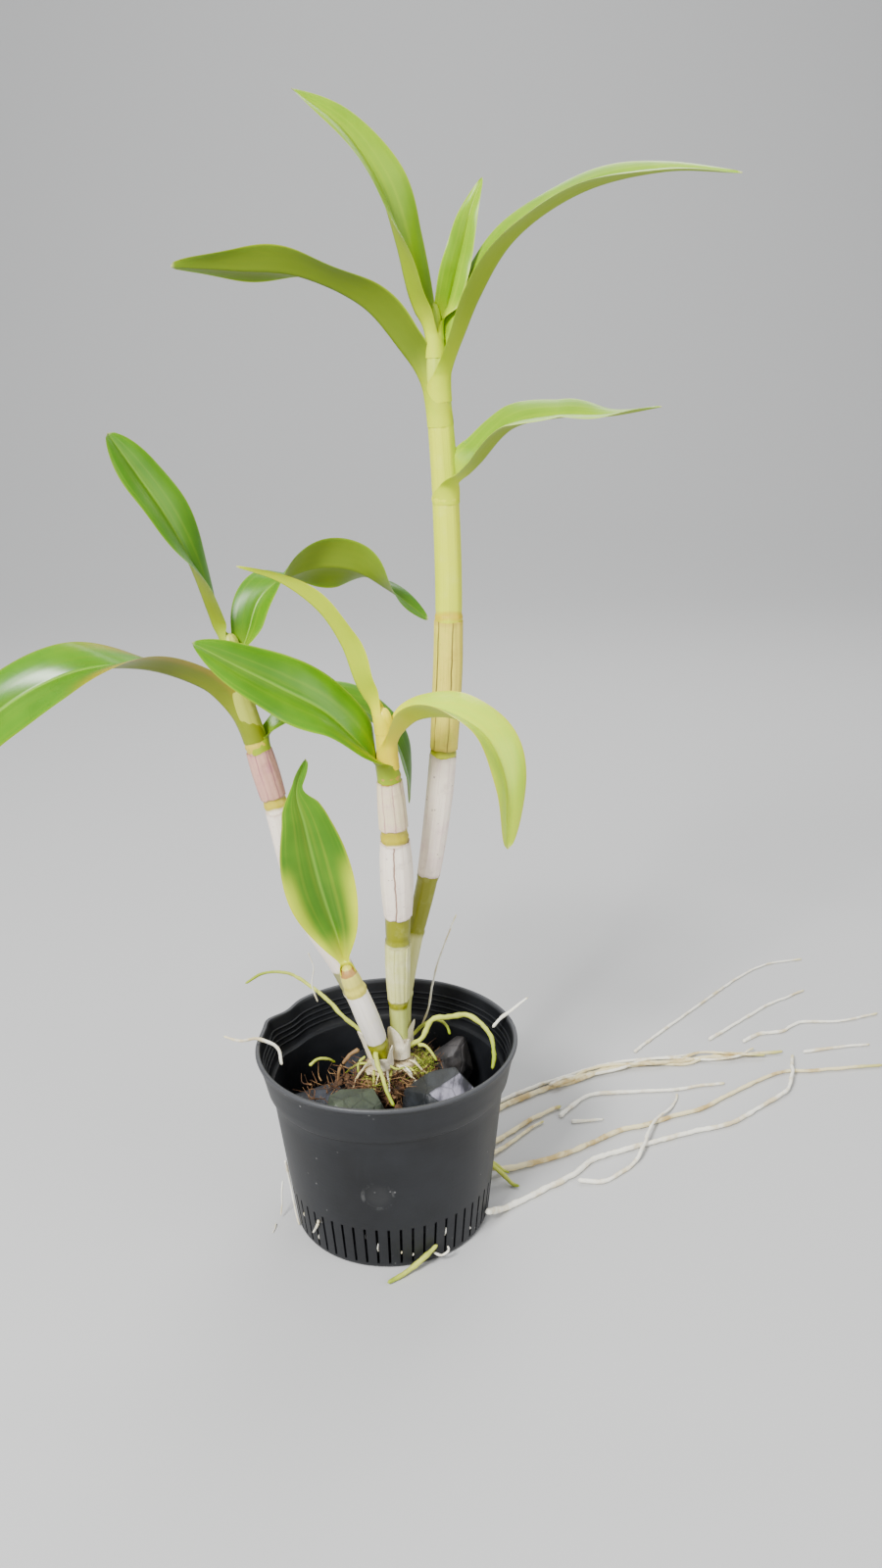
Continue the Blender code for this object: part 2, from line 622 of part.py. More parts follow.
# the same with bearing, share of the way over the filling, millimetres over the rim
POT_ROOTS = (
    ("root_over_front", 1.3, [(-105, 0.1, 0), (-96, 0.25, -4), (-90, 0.42, -8), (-84, 0.62, -14)]),
    ("root_right_wall", 1.5, [(16, 0.12, -3), (27, 0.27, 3), (22, 0.43, 4), (19, 0.66, 4), (12, 0.8, 1),
                              (6, 0.89, -3), (-3, 0.92, -8), (-13, 0.92, -12)]),
    ("root_fork", 1.0, [(52, 0.16, -8), (44, 0.3, -3), (38, 0.42, -1.5), (32, 0.5, -4), (28, 0.52, -9)]),
    ("root_over_left_rim", 1.1, [(136, 0.12, -4), (146, 0.39, 6), (138, 0.66, 6.5), (137, 0.93, 9),
                                 (137, 2.14, 11.5), (140, 2.84, 14), (145, 3.87, 14), (152, 4.58, 11)]),
    ("root_white_left", 0.9, [(-172, 0.9, -10), (-178, 0.95, -3), (-178, 1.92, 2.4), (-174, 2.84, 4.4),
                              (-175, 3.87, 7)]),
    ("root_right_rim_tip", 0.9, [(15, 0.96, -4), (16, 1.33, 0), (16.5, 1.92, 2.4), (17, 2.46, 4.8),
                                 (17.5, 3.33, 8.5)]),
    ("root_thread", 0.6, [(50, 0.3, -6), (46, 0.39, 4.5), (47, 0.48, 16), (44, 0.57, 31), (35, 0.71, 55)]),
)


def build_plant():
    """The crown, the canes with their sheaths, the leaves and every root."""
    build_crown()
    for cane in CANES:
        cane.build()
    for name, cane, low, high, stand_off in SHEATHS:
        cane.sheath(name, low, high, stand_off)
    for name, cane, rise, bearing, reach, width, rolls, folds, widest, base in LEAVES:
        build_leaf(name, cane, rise, bearing, reach, width, rolls, folds, widest, base)
    for name, radius, route in GROUND_ROOTS:
        build_root(name, radius * MM, beside_pot(radius, route))
    for name, radius, route in POT_ROOTS:
        build_root(name, radius * MM, within_pot(route))


def main():
    for obj in list(bpy.data.objects):
        bpy.data.objects.remove(obj)
    build_pot()
    build_fibre()
    build_charcoal()
    build_plant()


main()
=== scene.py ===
"""The looks of a potted cane orchid: a slotted nursery pot, charcoal, bark fibre, canes, leaves and roots.

Metres, +Z up, with the origin at the centre of the pot's underside, +X to the plant's right and +Y to
its back. Each class builds one kind of piece and dresses it in its own finish.
"""

import logging
import random
from collections.abc import Callable, Sequence
from dataclasses import dataclass, field
from enum import Enum
from functools import lru_cache
from math import atan2, cos, degrees, exp, hypot, pi, radians, sin, sqrt, tau

import bmesh
import bpy
from mathutils import Matrix, Vector, noise


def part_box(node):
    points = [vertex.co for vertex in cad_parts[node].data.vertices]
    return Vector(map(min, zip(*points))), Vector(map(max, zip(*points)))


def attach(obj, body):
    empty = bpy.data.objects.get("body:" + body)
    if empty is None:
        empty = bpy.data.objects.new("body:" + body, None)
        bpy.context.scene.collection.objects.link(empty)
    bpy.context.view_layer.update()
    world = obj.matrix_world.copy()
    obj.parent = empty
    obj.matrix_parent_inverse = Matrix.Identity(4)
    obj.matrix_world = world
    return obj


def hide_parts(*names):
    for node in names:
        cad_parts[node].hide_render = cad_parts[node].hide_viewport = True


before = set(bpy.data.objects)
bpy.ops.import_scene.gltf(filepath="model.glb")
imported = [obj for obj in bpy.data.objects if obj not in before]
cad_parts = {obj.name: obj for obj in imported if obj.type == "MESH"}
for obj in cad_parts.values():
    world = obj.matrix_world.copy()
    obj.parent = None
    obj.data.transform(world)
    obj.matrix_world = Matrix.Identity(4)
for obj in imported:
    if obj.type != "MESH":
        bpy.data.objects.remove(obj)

LOG = logging.getLogger("orchid")
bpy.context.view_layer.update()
MM = 0.001
BODY = "root"

Colour = tuple[float, float, float, float]
Point = tuple[float, float, float]
Material = bpy.types.Material
Mesh = bmesh.types.BMesh

# Pot
POT_HEIGHT = 98 * MM
RIM_RADIUS = 65 * MM
FOOT_RADIUS = 49.5 * MM
SHOULDER_RADIUS = 58 * MM
COLLAR_DEPTH = 21 * MM
LEDGE = 2.2 * MM
WALL = 1.1 * MM
LIP = 1.0 * MM
LIP_DEPTH = 2.4 * MM
FLOOR = 1.8 * MM
SLIT_COUNT = 56
SLIT_WIDTH = 1.2 * MM
SLIT_LOW = 3.0 * MM
SLIT_HIGH = 24 * MM
DRAIN_COUNT = 8
DRAIN_RADIUS = 3.5 * MM
DRAIN_RING = 30 * MM
CENTRE_PAD = 20 * MM
FOOT_RING = 7 * MM
RECESS = 0.8 * MM

# Plant
CROWN_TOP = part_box("crown")[1][2] + 0.3 * MM  # where the canes stand
CROWN_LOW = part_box("crown")[0][2]
LEAF_CLEARANCE = 1.6 * MM
LEAF_THICKNESS = 1.3 * MM
TIP_SHARE = 0.93  # where a blunt leaf starts to round off
FLOOR_CLEARANCE = 0.15 * MM
ROOT_START = 13 * MM  # from the pot's axis to where the roots over the filling are counted from

# Meshes
MERGE = 2e-6  # corners of a solid that are nearer than this are one
SKIN_MERGE = 1.5e-6  # the same where a skin closes on itself
GRID_EDGE = 1e-4  # how near its border a grid's vertex has to be to lie on it
NEARLY_ZERO = 1e-6
FOLD_NUDGE = 1e-4  # keeps a map's fold off the place where its fraction wraps


class Slot(Enum):
    """The record's material slots."""

    POT = "pot_plastic"
    CHARCOAL = "charcoal"
    FIBRE = "fibre"
    CANE = "cane"
    SHEATH = "sheath"
    LEAF = "leaf"
    ROOT = "root"


# ---------------------------------------------------------------- numbers and curves

def tone(red: int, green: int, blue: int) -> Colour:
    """Turns a display colour into the linear one that a shader takes.

    Args:
        red: Red from 0 to 255.
        green: Green from 0 to 255.
        blue: Blue from 0 to 255.

    Returns:
        The linear colour with full alpha.
    """
    def linear(level: int) -> float:
        """One channel's linear value."""
        share = level / 255
        return share / 12.92 if share <= 0.04045 else ((share + 0.055) / 1.055) ** 2.4

    return linear(red), linear(green), linear(blue), 1.0


def smooth(value: float, low: float, high: float) -> float:
    """Eases from 0 at low to 1 at high.

    Args:
        value: The number to place.
        low: Where the step starts.
        high: Where the step ends.

    Returns:
        The eased share.
    """
    share = min(max((value - low) / (high - low), 0.0), 1.0)
    return share * share * (3 - 2 * share)


def hump(value: float, centre: float, width: float) -> float:
    """A bell of height 1 round centre, width being where it has fallen to about a third."""
    return exp(-(((value - centre) / width) ** 2))


def polar(bearing: float, radius: float, height: float) -> Vector:
    """A point from its bearing in degrees round the pot's axis."""
    turn = radians(bearing)
    return Vector((radius * cos(turn), radius * sin(turn), height))


def round_way(side: Vector, normal: Vector, u: float) -> Vector:
    """The direction at a share of a turn from side towards normal."""
    return side * cos(tau * u) + normal * sin(tau * u)


def across(tangent: Vector, level: Vector) -> tuple[Vector, Vector]:
    """Two directions at right angles to a line.

    Args:
        tangent: The line's unit direction.
        level: The way that the first one should point, as near as can be.

    Returns:
        The side direction, and the normal to both.
    """
    side = (level - level.dot(tangent) * tangent).normalized()
    return side, tangent.cross(side)


class Curve:
    """A smooth curve through evenly numbered points of any dimension."""

    look_round: float = 0.004  # how far either way, as a share, its direction is taken over

    def __init__(self, points: Sequence[Sequence[float]]) -> None:
        """Keeps the points that the curve goes through."""
        self.points = [tuple(point) for point in points]

    def at(self, share: float) -> list[float]:
        """Reads the curve.

        Args:
            share: The place along it, 0 to 1.

        Returns:
            The coordinates there.
        """
        points = self.points
        last = len(points) - 1
        place = min(max(share, 0.0), 1.0) * last
        i = min(int(place), last - 1)
        f = place - i
        b, c = points[i], points[i + 1]
        a = points[i - 1] if i > 0 else [2 * p - q for p, q in zip(b, c)]
        d = points[i + 2] if i + 2 <= last else [2 * q - p for p, q in zip(b, c)]
        return [
            0.5 * (2 * q + (r - p) * f + (2 * p - 5 * q + 4 * r - s) * f**2
                   + (3 * q - p - 3 * r + s) * f**3)
            for p, q, r, s in zip(a, b, c, d)
        ]

    def point(self, share: float) -> Vector:
        """The place at a share, as a vector."""
        return Vector(self.at(share))

    def tangent(self, share: float) -> Vector:
        """The unit direction at a share."""
        ahead, behind = min(share + self.look_round, 1), max(share - self.look_round, 0)
        return (self.point(ahead) - self.point(behind)).normalized()

    def length(self) -> float:
        """The curve's length, near enough, as the run of its points."""
        return sum((Vector(a) - Vector(b)).length for a, b in zip(self.points, self.points[1:]))


def values(numbers: Sequence[float]) -> Curve:
    """A smooth reading of a plain list of numbers."""
    return Curve([(number,) for number in numbers])


# ---------------------------------------------------------------- shader writing

class Value:
    """A shader socket that takes part in Python sums."""

    def __init__(self, nodes: "Nodes", socket: bpy.types.NodeSocket) -> None:
        """Wraps one output socket of a material."""
        self.nodes = nodes
        self.socket = socket

    def _sum(self, operation: str, first: "Value | float", second: "Value | float") -> "Value":
        """Adds one Math node and returns its result."""
        return self.nodes.add("ShaderNodeMath", {"operation": operation}, {0: first, 1: second})

    def __add__(self, other: "Value | float") -> "Value":
        """self + other."""
        return self._sum("ADD", self, other)

    def __radd__(self, other: float) -> "Value":
        """other + self."""
        return self._sum("ADD", other, self)

    def __sub__(self, other: "Value | float") -> "Value":
        """self - other."""
        return self._sum("SUBTRACT", self, other)

    def __rsub__(self, other: float) -> "Value":
        """other - self."""
        return self._sum("SUBTRACT", other, self)

    def __mul__(self, other: "Value | float") -> "Value":
        """self * other."""
        return self._sum("MULTIPLY", self, other)

    def __rmul__(self, other: float) -> "Value":
        """other * self."""
        return self._sum("MULTIPLY", other, self)

    def __pow__(self, other: float) -> "Value":
        """self ** other."""
        return self._sum("POWER", self, other)

    def __abs__(self) -> "Value":
        """The size of self without its sign."""
        return self._sum("ABSOLUTE", self, 0.0)

    def sine(self) -> "Value":
        """The sine of self."""
        return self._sum("SINE", self, 0.0)

    def ease(self, low: float, high: float) -> "Value":
        """Goes smoothly from 0 where self is low to 1 where it is high."""
        sockets = {0: self, 1: low, 2: high, 3: 0.0, 4: 1.0}
        return self.nodes.add("ShaderNodeMapRange", {"interpolation_type": "SMOOTHSTEP"}, sockets)

    def band(self, centre: float, width: float) -> "Value":
        """A soft band of 1 where self is near centre."""
        return 1 - abs(self - centre).ease(width * 0.4, width)


class Nodes:
    """One material under construction."""

    def __init__(self, name: str) -> None:
        """Starts a Principled material.

        Args:
            name: The material's name.
        """
        self.material = bpy.data.materials.new(name)
        self.material.use_nodes = True
        self.tree = self.material.node_tree
        self.shader = self.tree.nodes["Principled BSDF"]

    def add(
        self,
        kind: str,
        settings: dict[str, object] | None = None,
        sockets: dict[int | str, object] | None = None,
        output: int | str = 0,
    ) -> Value:
        """Adds any node.

        Args:
            kind: The node's type.
            settings: Its settings, and a colour ramp's stops as (place, colour) pairs.
            sockets: The values or links of its input sockets.
            output: The output wanted.

        Returns:
            That output, wrapped.
        """
        node = self.tree.nodes.new(kind)
        for key, setting in (settings or {}).items():
            if key == "stops":
                self._stops(node.color_ramp, setting)
            else:
                setattr(node, key, setting)
        for key, value in (sockets or {}).items():
            self.feed(node.inputs[key], value)
        return Value(self, node.outputs[output])

    @staticmethod
    def _stops(ramp: bpy.types.ColorRamp, stops: Sequence[tuple[float, Colour]]) -> None:
        """Sets a ramp's stops from first to last."""
        first, last = ramp.elements[0], ramp.elements[1]
        (first.position, first.color), (last.position, last.color) = stops[0], stops[-1]
        for place, colour in stops[1:-1]:
            ramp.elements.new(place).color = colour

    def feed(self, socket: bpy.types.NodeSocket, value: object) -> None:
        """Links a wrapped output to a socket, or sets the socket's own value."""
        if isinstance(value, Value):
            self.tree.links.new(value.socket, socket)
        else:
            socket.default_value = value

    def _mapped(self, output: str, stretch: Point, shift: Point) -> Value:
        """One kind of coordinates, stretched and shifted."""
        where = self.add("ShaderNodeTexCoord", output=output)
        return self.add("ShaderNodeMapping", sockets={"Vector": where, "Scale": stretch, "Location": shift})

    def place(self, stretch: Point = (1, 1, 1)) -> Value:
        """Object coordinates, stretched."""
        return self._mapped("Object", stretch, (0, 0, 0))

    def surface(self, stretch: Point = (1, 1, 1), shift: Point = (0, 0, 0)) -> Value:
        """The piece's own UV map, stretched and shifted: u round it and v along it."""
        return self._mapped("UV", stretch, shift)

    def split(self, source: Value) -> tuple[Value, Value, Value]:
        """The three parts of some coordinates."""
        first = self.add("ShaderNodeSeparateXYZ", sockets={"Vector": source})
        outputs = first.socket.node.outputs
        return first, Value(self, outputs[1]), Value(self, outputs[2])

    def uv(self) -> tuple[Value, Value]:
        """The u and v of the piece's own map."""
        u, v, _ = self.split(self.add("ShaderNodeTexCoord", output="UV"))
        return u, v

    def grain(self, source: Value, scale: float, detail: float = 3.0, rough: float = 0.55) -> Value:
        """Soft noise from 0 to 1 over coordinates."""
        sockets = {"Vector": source, "Scale": scale, "Detail": detail, "Roughness": rough}
        return self.add("ShaderNodeTexNoise", sockets=sockets)

    def cells(self, source: Value, scale: float, feature: str = "F1") -> Value:
        """Distance to scattered points over coordinates, for specks and cracks."""
        settings = {"feature": feature}
        return self.add("ShaderNodeTexVoronoi", settings, {"Vector": source, "Scale": scale}, "Distance")

    def mix(self, share: "Value | float", first: "Value | Colour", second: "Value | Colour") -> Value:
        """Blends two colours, share being how much of the second shows."""
        settings = {"data_type": "RGBA"}
        return self.add("ShaderNodeMix", settings, {0: share, 6: first, 7: second}, 2)

    def ramp(self, source: Value, stops: Sequence[tuple[float, Colour]]) -> Value:
        """A colour ramp over a value."""
        return self.add("ShaderNodeValToRGB", {"stops": stops}, {"Fac": source})

    def dress(
        self,
        colour: "Value | Colour",
        roughness: "Value | float",
        height: Value | None = None,
        depth: float = 0.3 * MM,
        **fixed: object,
    ) -> Material:
        """Feeds the shader.

        Args:
            colour: The base colour.
            roughness: The roughness.
            height: What stands proud, 0 to 1, for the bump.
            depth: How far a height of 1 stands proud, in metres.
            **fixed: Other inputs by name, with _ for a space, that are the same all over.

        Returns:
            The finished material.
        """
        self.feed(self.shader.inputs["Base Color"], colour)
        self.feed(self.shader.inputs["Roughness"], roughness)
        if height is not None:
            sockets = {"Strength": 1.0, "Distance": depth, "Height": height}
            self.feed(self.shader.inputs["Normal"], self.add("ShaderNodeBump", sockets=sockets))
        for key, value in fixed.items():
            self.feed(self.shader.inputs[key.replace("_", " ")], value)
        return self.material


# ---------------------------------------------------------------- finishes

@dataclass(frozen=True)
class PotPlastic:
    """Black nursery-pot plastic: satin, dusty, scuffed and water-marked."""

    deep: Colour = tone(11, 12, 15)
    dusty: Colour = tone(36, 38, 42)
    scuff: Colour = tone(140, 140, 138)
    worn_lip: Colour = tone(96, 97, 100)
    mark_place: tuple[float, float] = (-4 * MM, 45 * MM)  # x and z of the dried water ring on the front
    mark_radius: float = 7.4 * MM

    def material(self) -> Material:
        """Builds the material.

        Returns:
            The finished material.
        """
        n = Nodes("pot_plastic")
        x, y, z = n.split(n.place())
        where = n.place()
        haze = n.grain(where, 22, 4, 0.6)
        streak = n.grain(n.place((1, 1, 0.12)), 160, 3, 0.6)
        turned = n.grain(n.place((0.15, 0.15, 1)), 900, 2, 0.5)
        specks = 1 - n.cells(where, 210).ease(0.05, 0.13)
        rare = n.grain(where, 38, 2, 0.5).ease(0.56, 0.66)
        low = 1 - z.ease(2 * MM, 30 * MM)
        colour = n.mix(haze.ease(0.3, 0.72) * 0.55 + low * 0.12, self.deep, self.dusty)
        colour = n.mix(streak.ease(0.6, 0.75) * 0.18, colour, self.dusty)
        colour = n.mix(specks * rare * 0.75, colour, self.scuff)
        lip = z.ease(POT_HEIGHT - LIP_DEPTH, POT_HEIGHT - 0.6 * MM)
        colour = n.mix(lip * 0.4, colour, self.worn_lip)
        mark_x, mark_z = x - self.mark_place[0], z - self.mark_place[1]
        spot = (mark_x * mark_x + mark_z * mark_z) ** 0.5
        front = 1 - y.ease(-40 * MM, -20 * MM)
        broken = n.grain(where, 130, 3, 0.6).ease(0.48, 0.62)
        ring = spot.band(self.mark_radius, 1.2 * MM) * broken
        mark = (ring + (1 - spot.ease(3 * MM, 8 * MM)) * haze * 0.5) * front
        colour = n.mix(mark * 0.16, colour, self.scuff)
        roughness = 0.36 + haze * 0.2 + specks * rare * 0.2
        height = turned * 0.25 + n.grain(where, 700, 2, 0.5) * 0.25 + mark * 0.15
        return n.dress(colour, roughness, height, 0.12 * MM, Specular_IOR_Level=0.36)


@dataclass(frozen=True)
class CharcoalStone:
    """A lump of charcoal: dark, faintly grained, scuffed lighter, with or without a film of moss.

    The u of its map says how far a face looks the way of its painted highlight, from 0 to 1; the faces that
    look that way most are painted paler, as a highlight.
    """

    name: str
    dark: Colour = tone(22, 23, 27)
    worn: Colour = tone(66, 69, 78)
    film: Colour = tone(70, 76, 60)
    mossy: float = 0.0
    # painted highlight: the pale colour that the faces turned towards the light take, and how strongly
    highlight_facet: Colour = tone(158, 154, 170)
    highlight_strength: float = 0.0
    crack: Colour = tone(18, 18, 20)

    def material(self) -> Material:
        """Builds the material.

        Returns:
            The finished material.
        """
        n = Nodes(self.name)
        where = n.place()
        ring = n.grain(n.place((1, 0.25, 1)), 120, 4, 0.65)
        dust = n.grain(where, 45, 4, 0.6)
        fine = n.grain(where, 520, 3, 0.6)
        cracks = 1 - n.cells(n.place((1, 0.6, 1)), 70, "DISTANCE_TO_EDGE").ease(0.0, 0.045)
        colour = n.mix(ring.ease(0.42, 0.7) * 0.45 + dust.ease(0.5, 0.75) * 0.35, self.dark, self.worn)
        colour = n.mix(dust.ease(0.3, 0.6) * self.mossy, colour, self.film)
        # painted highlight: the faces turned most towards the lump's highlight direction are paled, broken
        # up by the rings
        lit, _ = n.uv()
        highlight_grain = 0.12 + ring.ease(0.36, 0.62) * 0.85
        colour = n.mix(lit * highlight_grain * self.highlight_strength, colour, self.highlight_facet)
        colour = n.mix(cracks * 0.35, colour, self.crack)
        height = ring * 0.5 + fine * 0.3 - cracks * 0.3
        return n.dress(colour, 0.42 + dust * 0.3, height, 0.5 * MM)


@dataclass(frozen=True)
class BarkFibre:
    """Brown bark, dead roots and fibre."""

    name: str
    dark: Colour = tone(34, 20, 12)
    mid: Colour = tone(84, 54, 30)
    pale: Colour = tone(146, 112, 70)

    def material(self) -> Material:
        """Builds the material.

        Returns:
            The finished material.
        """
        n = Nodes(self.name)
        where = n.place()
        patch = n.grain(where, 130, 3, 0.6)
        fine = n.grain(n.place((1, 1, 0.3)), 900, 3, 0.6)
        colour = n.ramp(patch, [(0.3, self.dark), (0.52, self.mid), (0.72, self.pale)])
        colour = n.mix(fine.ease(0.5, 0.7) * 0.35, colour, self.dark)
        return n.dress(colour, 0.85, fine + patch, 0.3 * MM)


@dataclass(frozen=True)
class MossGreen:
    """Fresh moss in patches from dark green to pale yellow-green."""

    name: str = "moss"
    dark: Colour = tone(62, 78, 18)
    mid: Colour = tone(150, 162, 40)
    pale: Colour = tone(205, 205, 96)

    def material(self) -> Material:
        """Builds the material.

        Returns:
            The finished material.
        """
        n = Nodes(self.name)
        patch = n.grain(n.place(), 260, 3, 0.6)
        colour = n.ramp(patch, [(0.3, self.dark), (0.55, self.mid), (0.75, self.pale)])
        return n.dress(colour, 0.8, patch, 0.2 * MM)


@dataclass(frozen=True)
class LeafFinish:
    """A strap leaf's two faces, its base, edge and tip.

    Its map runs round the blade: u is 0 at one edge, 0.25 on the upper face's rib, 0.5 at the other
    edge and 0.75 on the underside's rib, and v goes from the foot to the tip.
    """

    name: str
    upper: Colour
    # a darker green taken from leaves in shade: in random patches over the upper face it is partly the
    # leaf's own mottle and partly painted shade, and beside the rib it is painted shade
    mottle_and_shade: Colour
    under: Colour
    base: Colour
    base_reach: float = 0.2  # how far up the leaf the base's colour goes
    gloss: float = 0.32  # its least roughness
    shine: float = 0.36  # its specular level
    rib: Colour = tone(190, 205, 120)
    rib_strength: float = 0.3
    tip: Colour = tone(196, 190, 140)
    blush: Colour | None = None
    blush_place: float = 0.4
    vein_turns: float = 50.0

    def material(self) -> Material:
        """Builds the material.

        Returns:
            The finished material.
        """
        n = Nodes(self.name)
        u, v = n.uv()
        half = n.add("ShaderNodeMath", {"operation": "FRACT"}, {0: u * 2 + FOLD_NUDGE})
        side = abs(half * 2 - 1)
        below = u.ease(0.49, 0.51)
        where = n.place()
        cloud = n.grain(where, 32, 3, 0.55)
        streak = n.grain(n.surface((24, 0.9, 1)), 1.0, 2, 0.45)
        veins = (half * self.vein_turns).sine() * 0.5 + 0.5
        rib = 1 - side.ease(0.0, 0.085)
        shade_beside_rib = side.band(0.15, 0.12)
        # random patches of the darker green: partly the leaf's own mottle, partly painted shade
        colour = n.mix(cloud.ease(0.3, 0.7) * 0.75, self.upper, self.mottle_and_shade)
        colour = n.mix(streak.ease(0.45, 0.7) * 0.14, colour, self.base)
        # painted shade in the fold either side of the rib
        colour = n.mix(shade_beside_rib * self.rib_strength * 0.5, colour, self.mottle_and_shade)
        colour = n.mix(rib * self.rib_strength, colour, self.rib)
        colour = n.mix(below * 0.9, colour, self.under)
        colour = n.mix(veins * 0.06, colour, self.mottle_and_shade)
        blend = (1 - v.ease(0.02, self.base_reach)) * (0.75 + cloud * 0.3)
        colour = n.mix(blend, colour, self.base)
        edge = side.ease(0.9, 0.995)
        if self.blush is not None:
            flush = side.ease(0.45, 1.0) * v.band(self.blush_place, 0.3) * (0.5 + cloud * 0.8)
            colour = n.mix(flush, colour, self.blush)
        colour = n.mix(edge * 0.3, colour, self.base)
        colour = n.mix(v.ease(0.985, 1.0) * 0.6, colour, self.tip)
        height = veins * 0.3 + streak * 0.5
        roughness = self.gloss + cloud * 0.1 + below * 0.14
        return n.dress(
            colour, roughness, height, 0.05 * MM,
            Subsurface_Weight=0.22, Subsurface_Radius=(0.5, 0.9, 0.15), Subsurface_Scale=1.6 * MM,
            Specular_IOR_Level=self.shine,
        )


@dataclass(frozen=True)
class CaneFinish:
    """A living cane: coloured bands from joint to joint, each (share of the height, colour)."""

    name: str
    bands: tuple[tuple[float, Colour], ...]
    rib_colour: Colour = tone(150, 150, 60)
    bloom: Colour = tone(238, 236, 170)

    def material(self) -> Material:
        """Builds the material.

        Returns:
            The finished material.
        """
        n = Nodes(self.name)
        u, v = n.uv()
        where = n.place()
        wander = n.grain(n.surface((5, 6, 1)), 1.0, 2, 0.5)
        along = v + (wander - 0.5) * 0.012
        colour = n.ramp(along, self.bands)
        fibres = n.grain(n.surface((70, 3, 1)), 1.0, 3, 0.55)
        blotch = n.grain(where, 150, 4, 0.6)
        colour = n.mix(fibres.ease(0.5, 0.75) * 0.28, colour, self.rib_colour)
        colour = n.mix(blotch.ease(0.5, 0.8) * 0.14, colour, self.bloom)
        fine = n.grain(where, 900, 2, 0.5)
        height = fibres * 0.6 + fine * 0.15
        return n.dress(
            colour, 0.38 + blotch * 0.14, height, 0.16 * MM,
            Subsurface_Weight=0.15, Subsurface_Radius=(0.8, 0.9, 0.3), Subsurface_Scale=2 * MM,
        )


@dataclass(frozen=True)
class SheathFinish:
    """A dry sleeve: its ground colour, lines along it, specks and blotches."""

    name: str
    ground: Colour
    line: Colour
    speck: Colour
    line_count: float = 9.0
    line_strength: float = 0.3
    speck_strength: float = 0.5
    blush: Colour = tone(236, 214, 208)
    blush_strength: float = 0.5
    seam: float | None = None  # where round the sleeve its lapped edge shows, if it does

    def material(self) -> Material:
        """Builds the material.

        Returns:
            The finished material.
        """
        n = Nodes(self.name)
        u, v = n.uv()
        where = n.place()
        wander = n.grain(n.surface((3, 5, 1)), 1.0, 2, 0.5)
        fibres = n.grain(n.surface((90, 2.2, 1)), 1.0, 4, 0.6)
        lines = ((u + (wander - 0.5) * 0.03) * (self.line_count * tau)).sine() * 0.5 + 0.5
        broken = n.grain(n.surface((9, 0.9, 1)), 1.0, 2, 0.5).ease(0.4, 0.6)
        thin = lines.ease(0.95, 0.998) * (0.35 + broken * 0.65)
        blotch = n.grain(where, 90, 4, 0.62)
        smudge = n.grain(n.surface((4, 6, 1), (5, 2, 0)), 1.0, 4, 0.6).ease(0.56, 0.76)
        dots = 1 - n.cells(n.surface((16, 20, 1)), 1.0).ease(0.08, 0.24)
        scatter = n.grain(n.surface((6, 7, 1), (3, 1, 0)), 1.0, 3, 0.6).ease(0.52, 0.62)
        colour = n.mix(blotch.ease(0.42, 0.7) * self.blush_strength, self.ground, self.blush)
        colour = n.mix(fibres.ease(0.5, 0.72) * 0.3, colour, self.line)
        colour = n.mix(smudge * 0.3, colour, self.speck)
        colour = n.mix(thin * self.line_strength, colour, self.line)
        colour = n.mix(dots * scatter * self.speck_strength, colour, self.speck)
        ends = 1 - v.ease(0.0, 0.035) + v.ease(0.955, 1.0)
        colour = n.mix(ends * blotch * 0.7, colour, self.speck)
        if self.seam is not None:
            seam = (u + (wander - 0.5) * 0.05).band(self.seam, 0.013)
            colour = n.mix(seam * 0.85, colour, self.speck)
        height = fibres * 0.7 + lines * 0.3 - dots * scatter * 0.3
        return n.dress(
            colour, 0.5 + blotch * 0.2, height, 0.2 * MM,
            Subsurface_Weight=0.12, Subsurface_Radius=(0.9, 0.8, 0.6), Subsurface_Scale=1.5 * MM,
        )


@dataclass(frozen=True)
class RootFinish:
    """Velamen, the root's spongy white skin, with growing tips and stained stretches."""

    name: str
    skin: Colour = tone(244, 241, 226)
    stain: Colour = tone(206, 186, 132)
    tip: Colour = tone(222, 212, 164)
    tip_reach: float = 0.04
    stain_strength: float = 0.75
    pits: Colour = tone(150, 138, 108)

    def material(self) -> Material:
        """Builds the material.

        Returns:
            The finished material.
        """
        n = Nodes(self.name)
        _, v = n.uv()
        where = n.place()
        patch = n.grain(where, 75, 3, 0.6)
        fine = n.grain(where, 1500, 3, 0.6)
        rings = n.grain(n.surface((2, 60, 1)), 1.0, 2, 0.6)
        colour = n.mix(patch.ease(0.45, 0.66) * self.stain_strength, self.skin, self.stain)
        colour = n.mix(fine.ease(0.55, 0.75) * 0.25, colour, self.pits)
        colour = n.mix(v.ease(1 - self.tip_reach * 1.6, 1 - self.tip_reach * 0.4), colour, self.tip)
        height = fine * 0.5 + rings * 0.5
        return n.dress(
            colour, 0.62, height, 0.25 * MM,
            Subsurface_Weight=0.1, Subsurface_Radius=(0.9, 0.9, 0.6), Subsurface_Scale=1 * MM,
        )


# ---------------------------------------------------------------- making pieces

def join_piece(
    name: str,
    bm: Mesh,
    finish: Material,
    slot: Slot,
    stands_for: Sequence[str] = (),
    sharp: float = 50.0,
) -> bpy.types.Object:
    """Turns a finished bmesh into one piece of the object.

    Args:
        name: The piece's name.
        bm: Its mesh, used up here.
        finish: Its material.
        slot: The record's slot that it belongs to; not used.
        stands_for: The nodes that it is shown for.
        sharp: Edges bent more than this, in degrees, stay sharp.

    Returns:
        The new object.
    """
    mesh = bpy.data.meshes.new(name)
    bm.to_mesh(mesh)
    bm.free()
    mesh.shade_smooth()
    mesh.set_sharp_from_angle(angle=radians(sharp))
    mesh.materials.append(finish)
    piece = bpy.data.objects.new(name, mesh)
    bpy.context.scene.collection.objects.link(piece)
    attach(piece, BODY)
    if stands_for:
        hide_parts(*stands_for)
    LOG.info("%s: %d faces", name, len(mesh.polygons))
    return piece


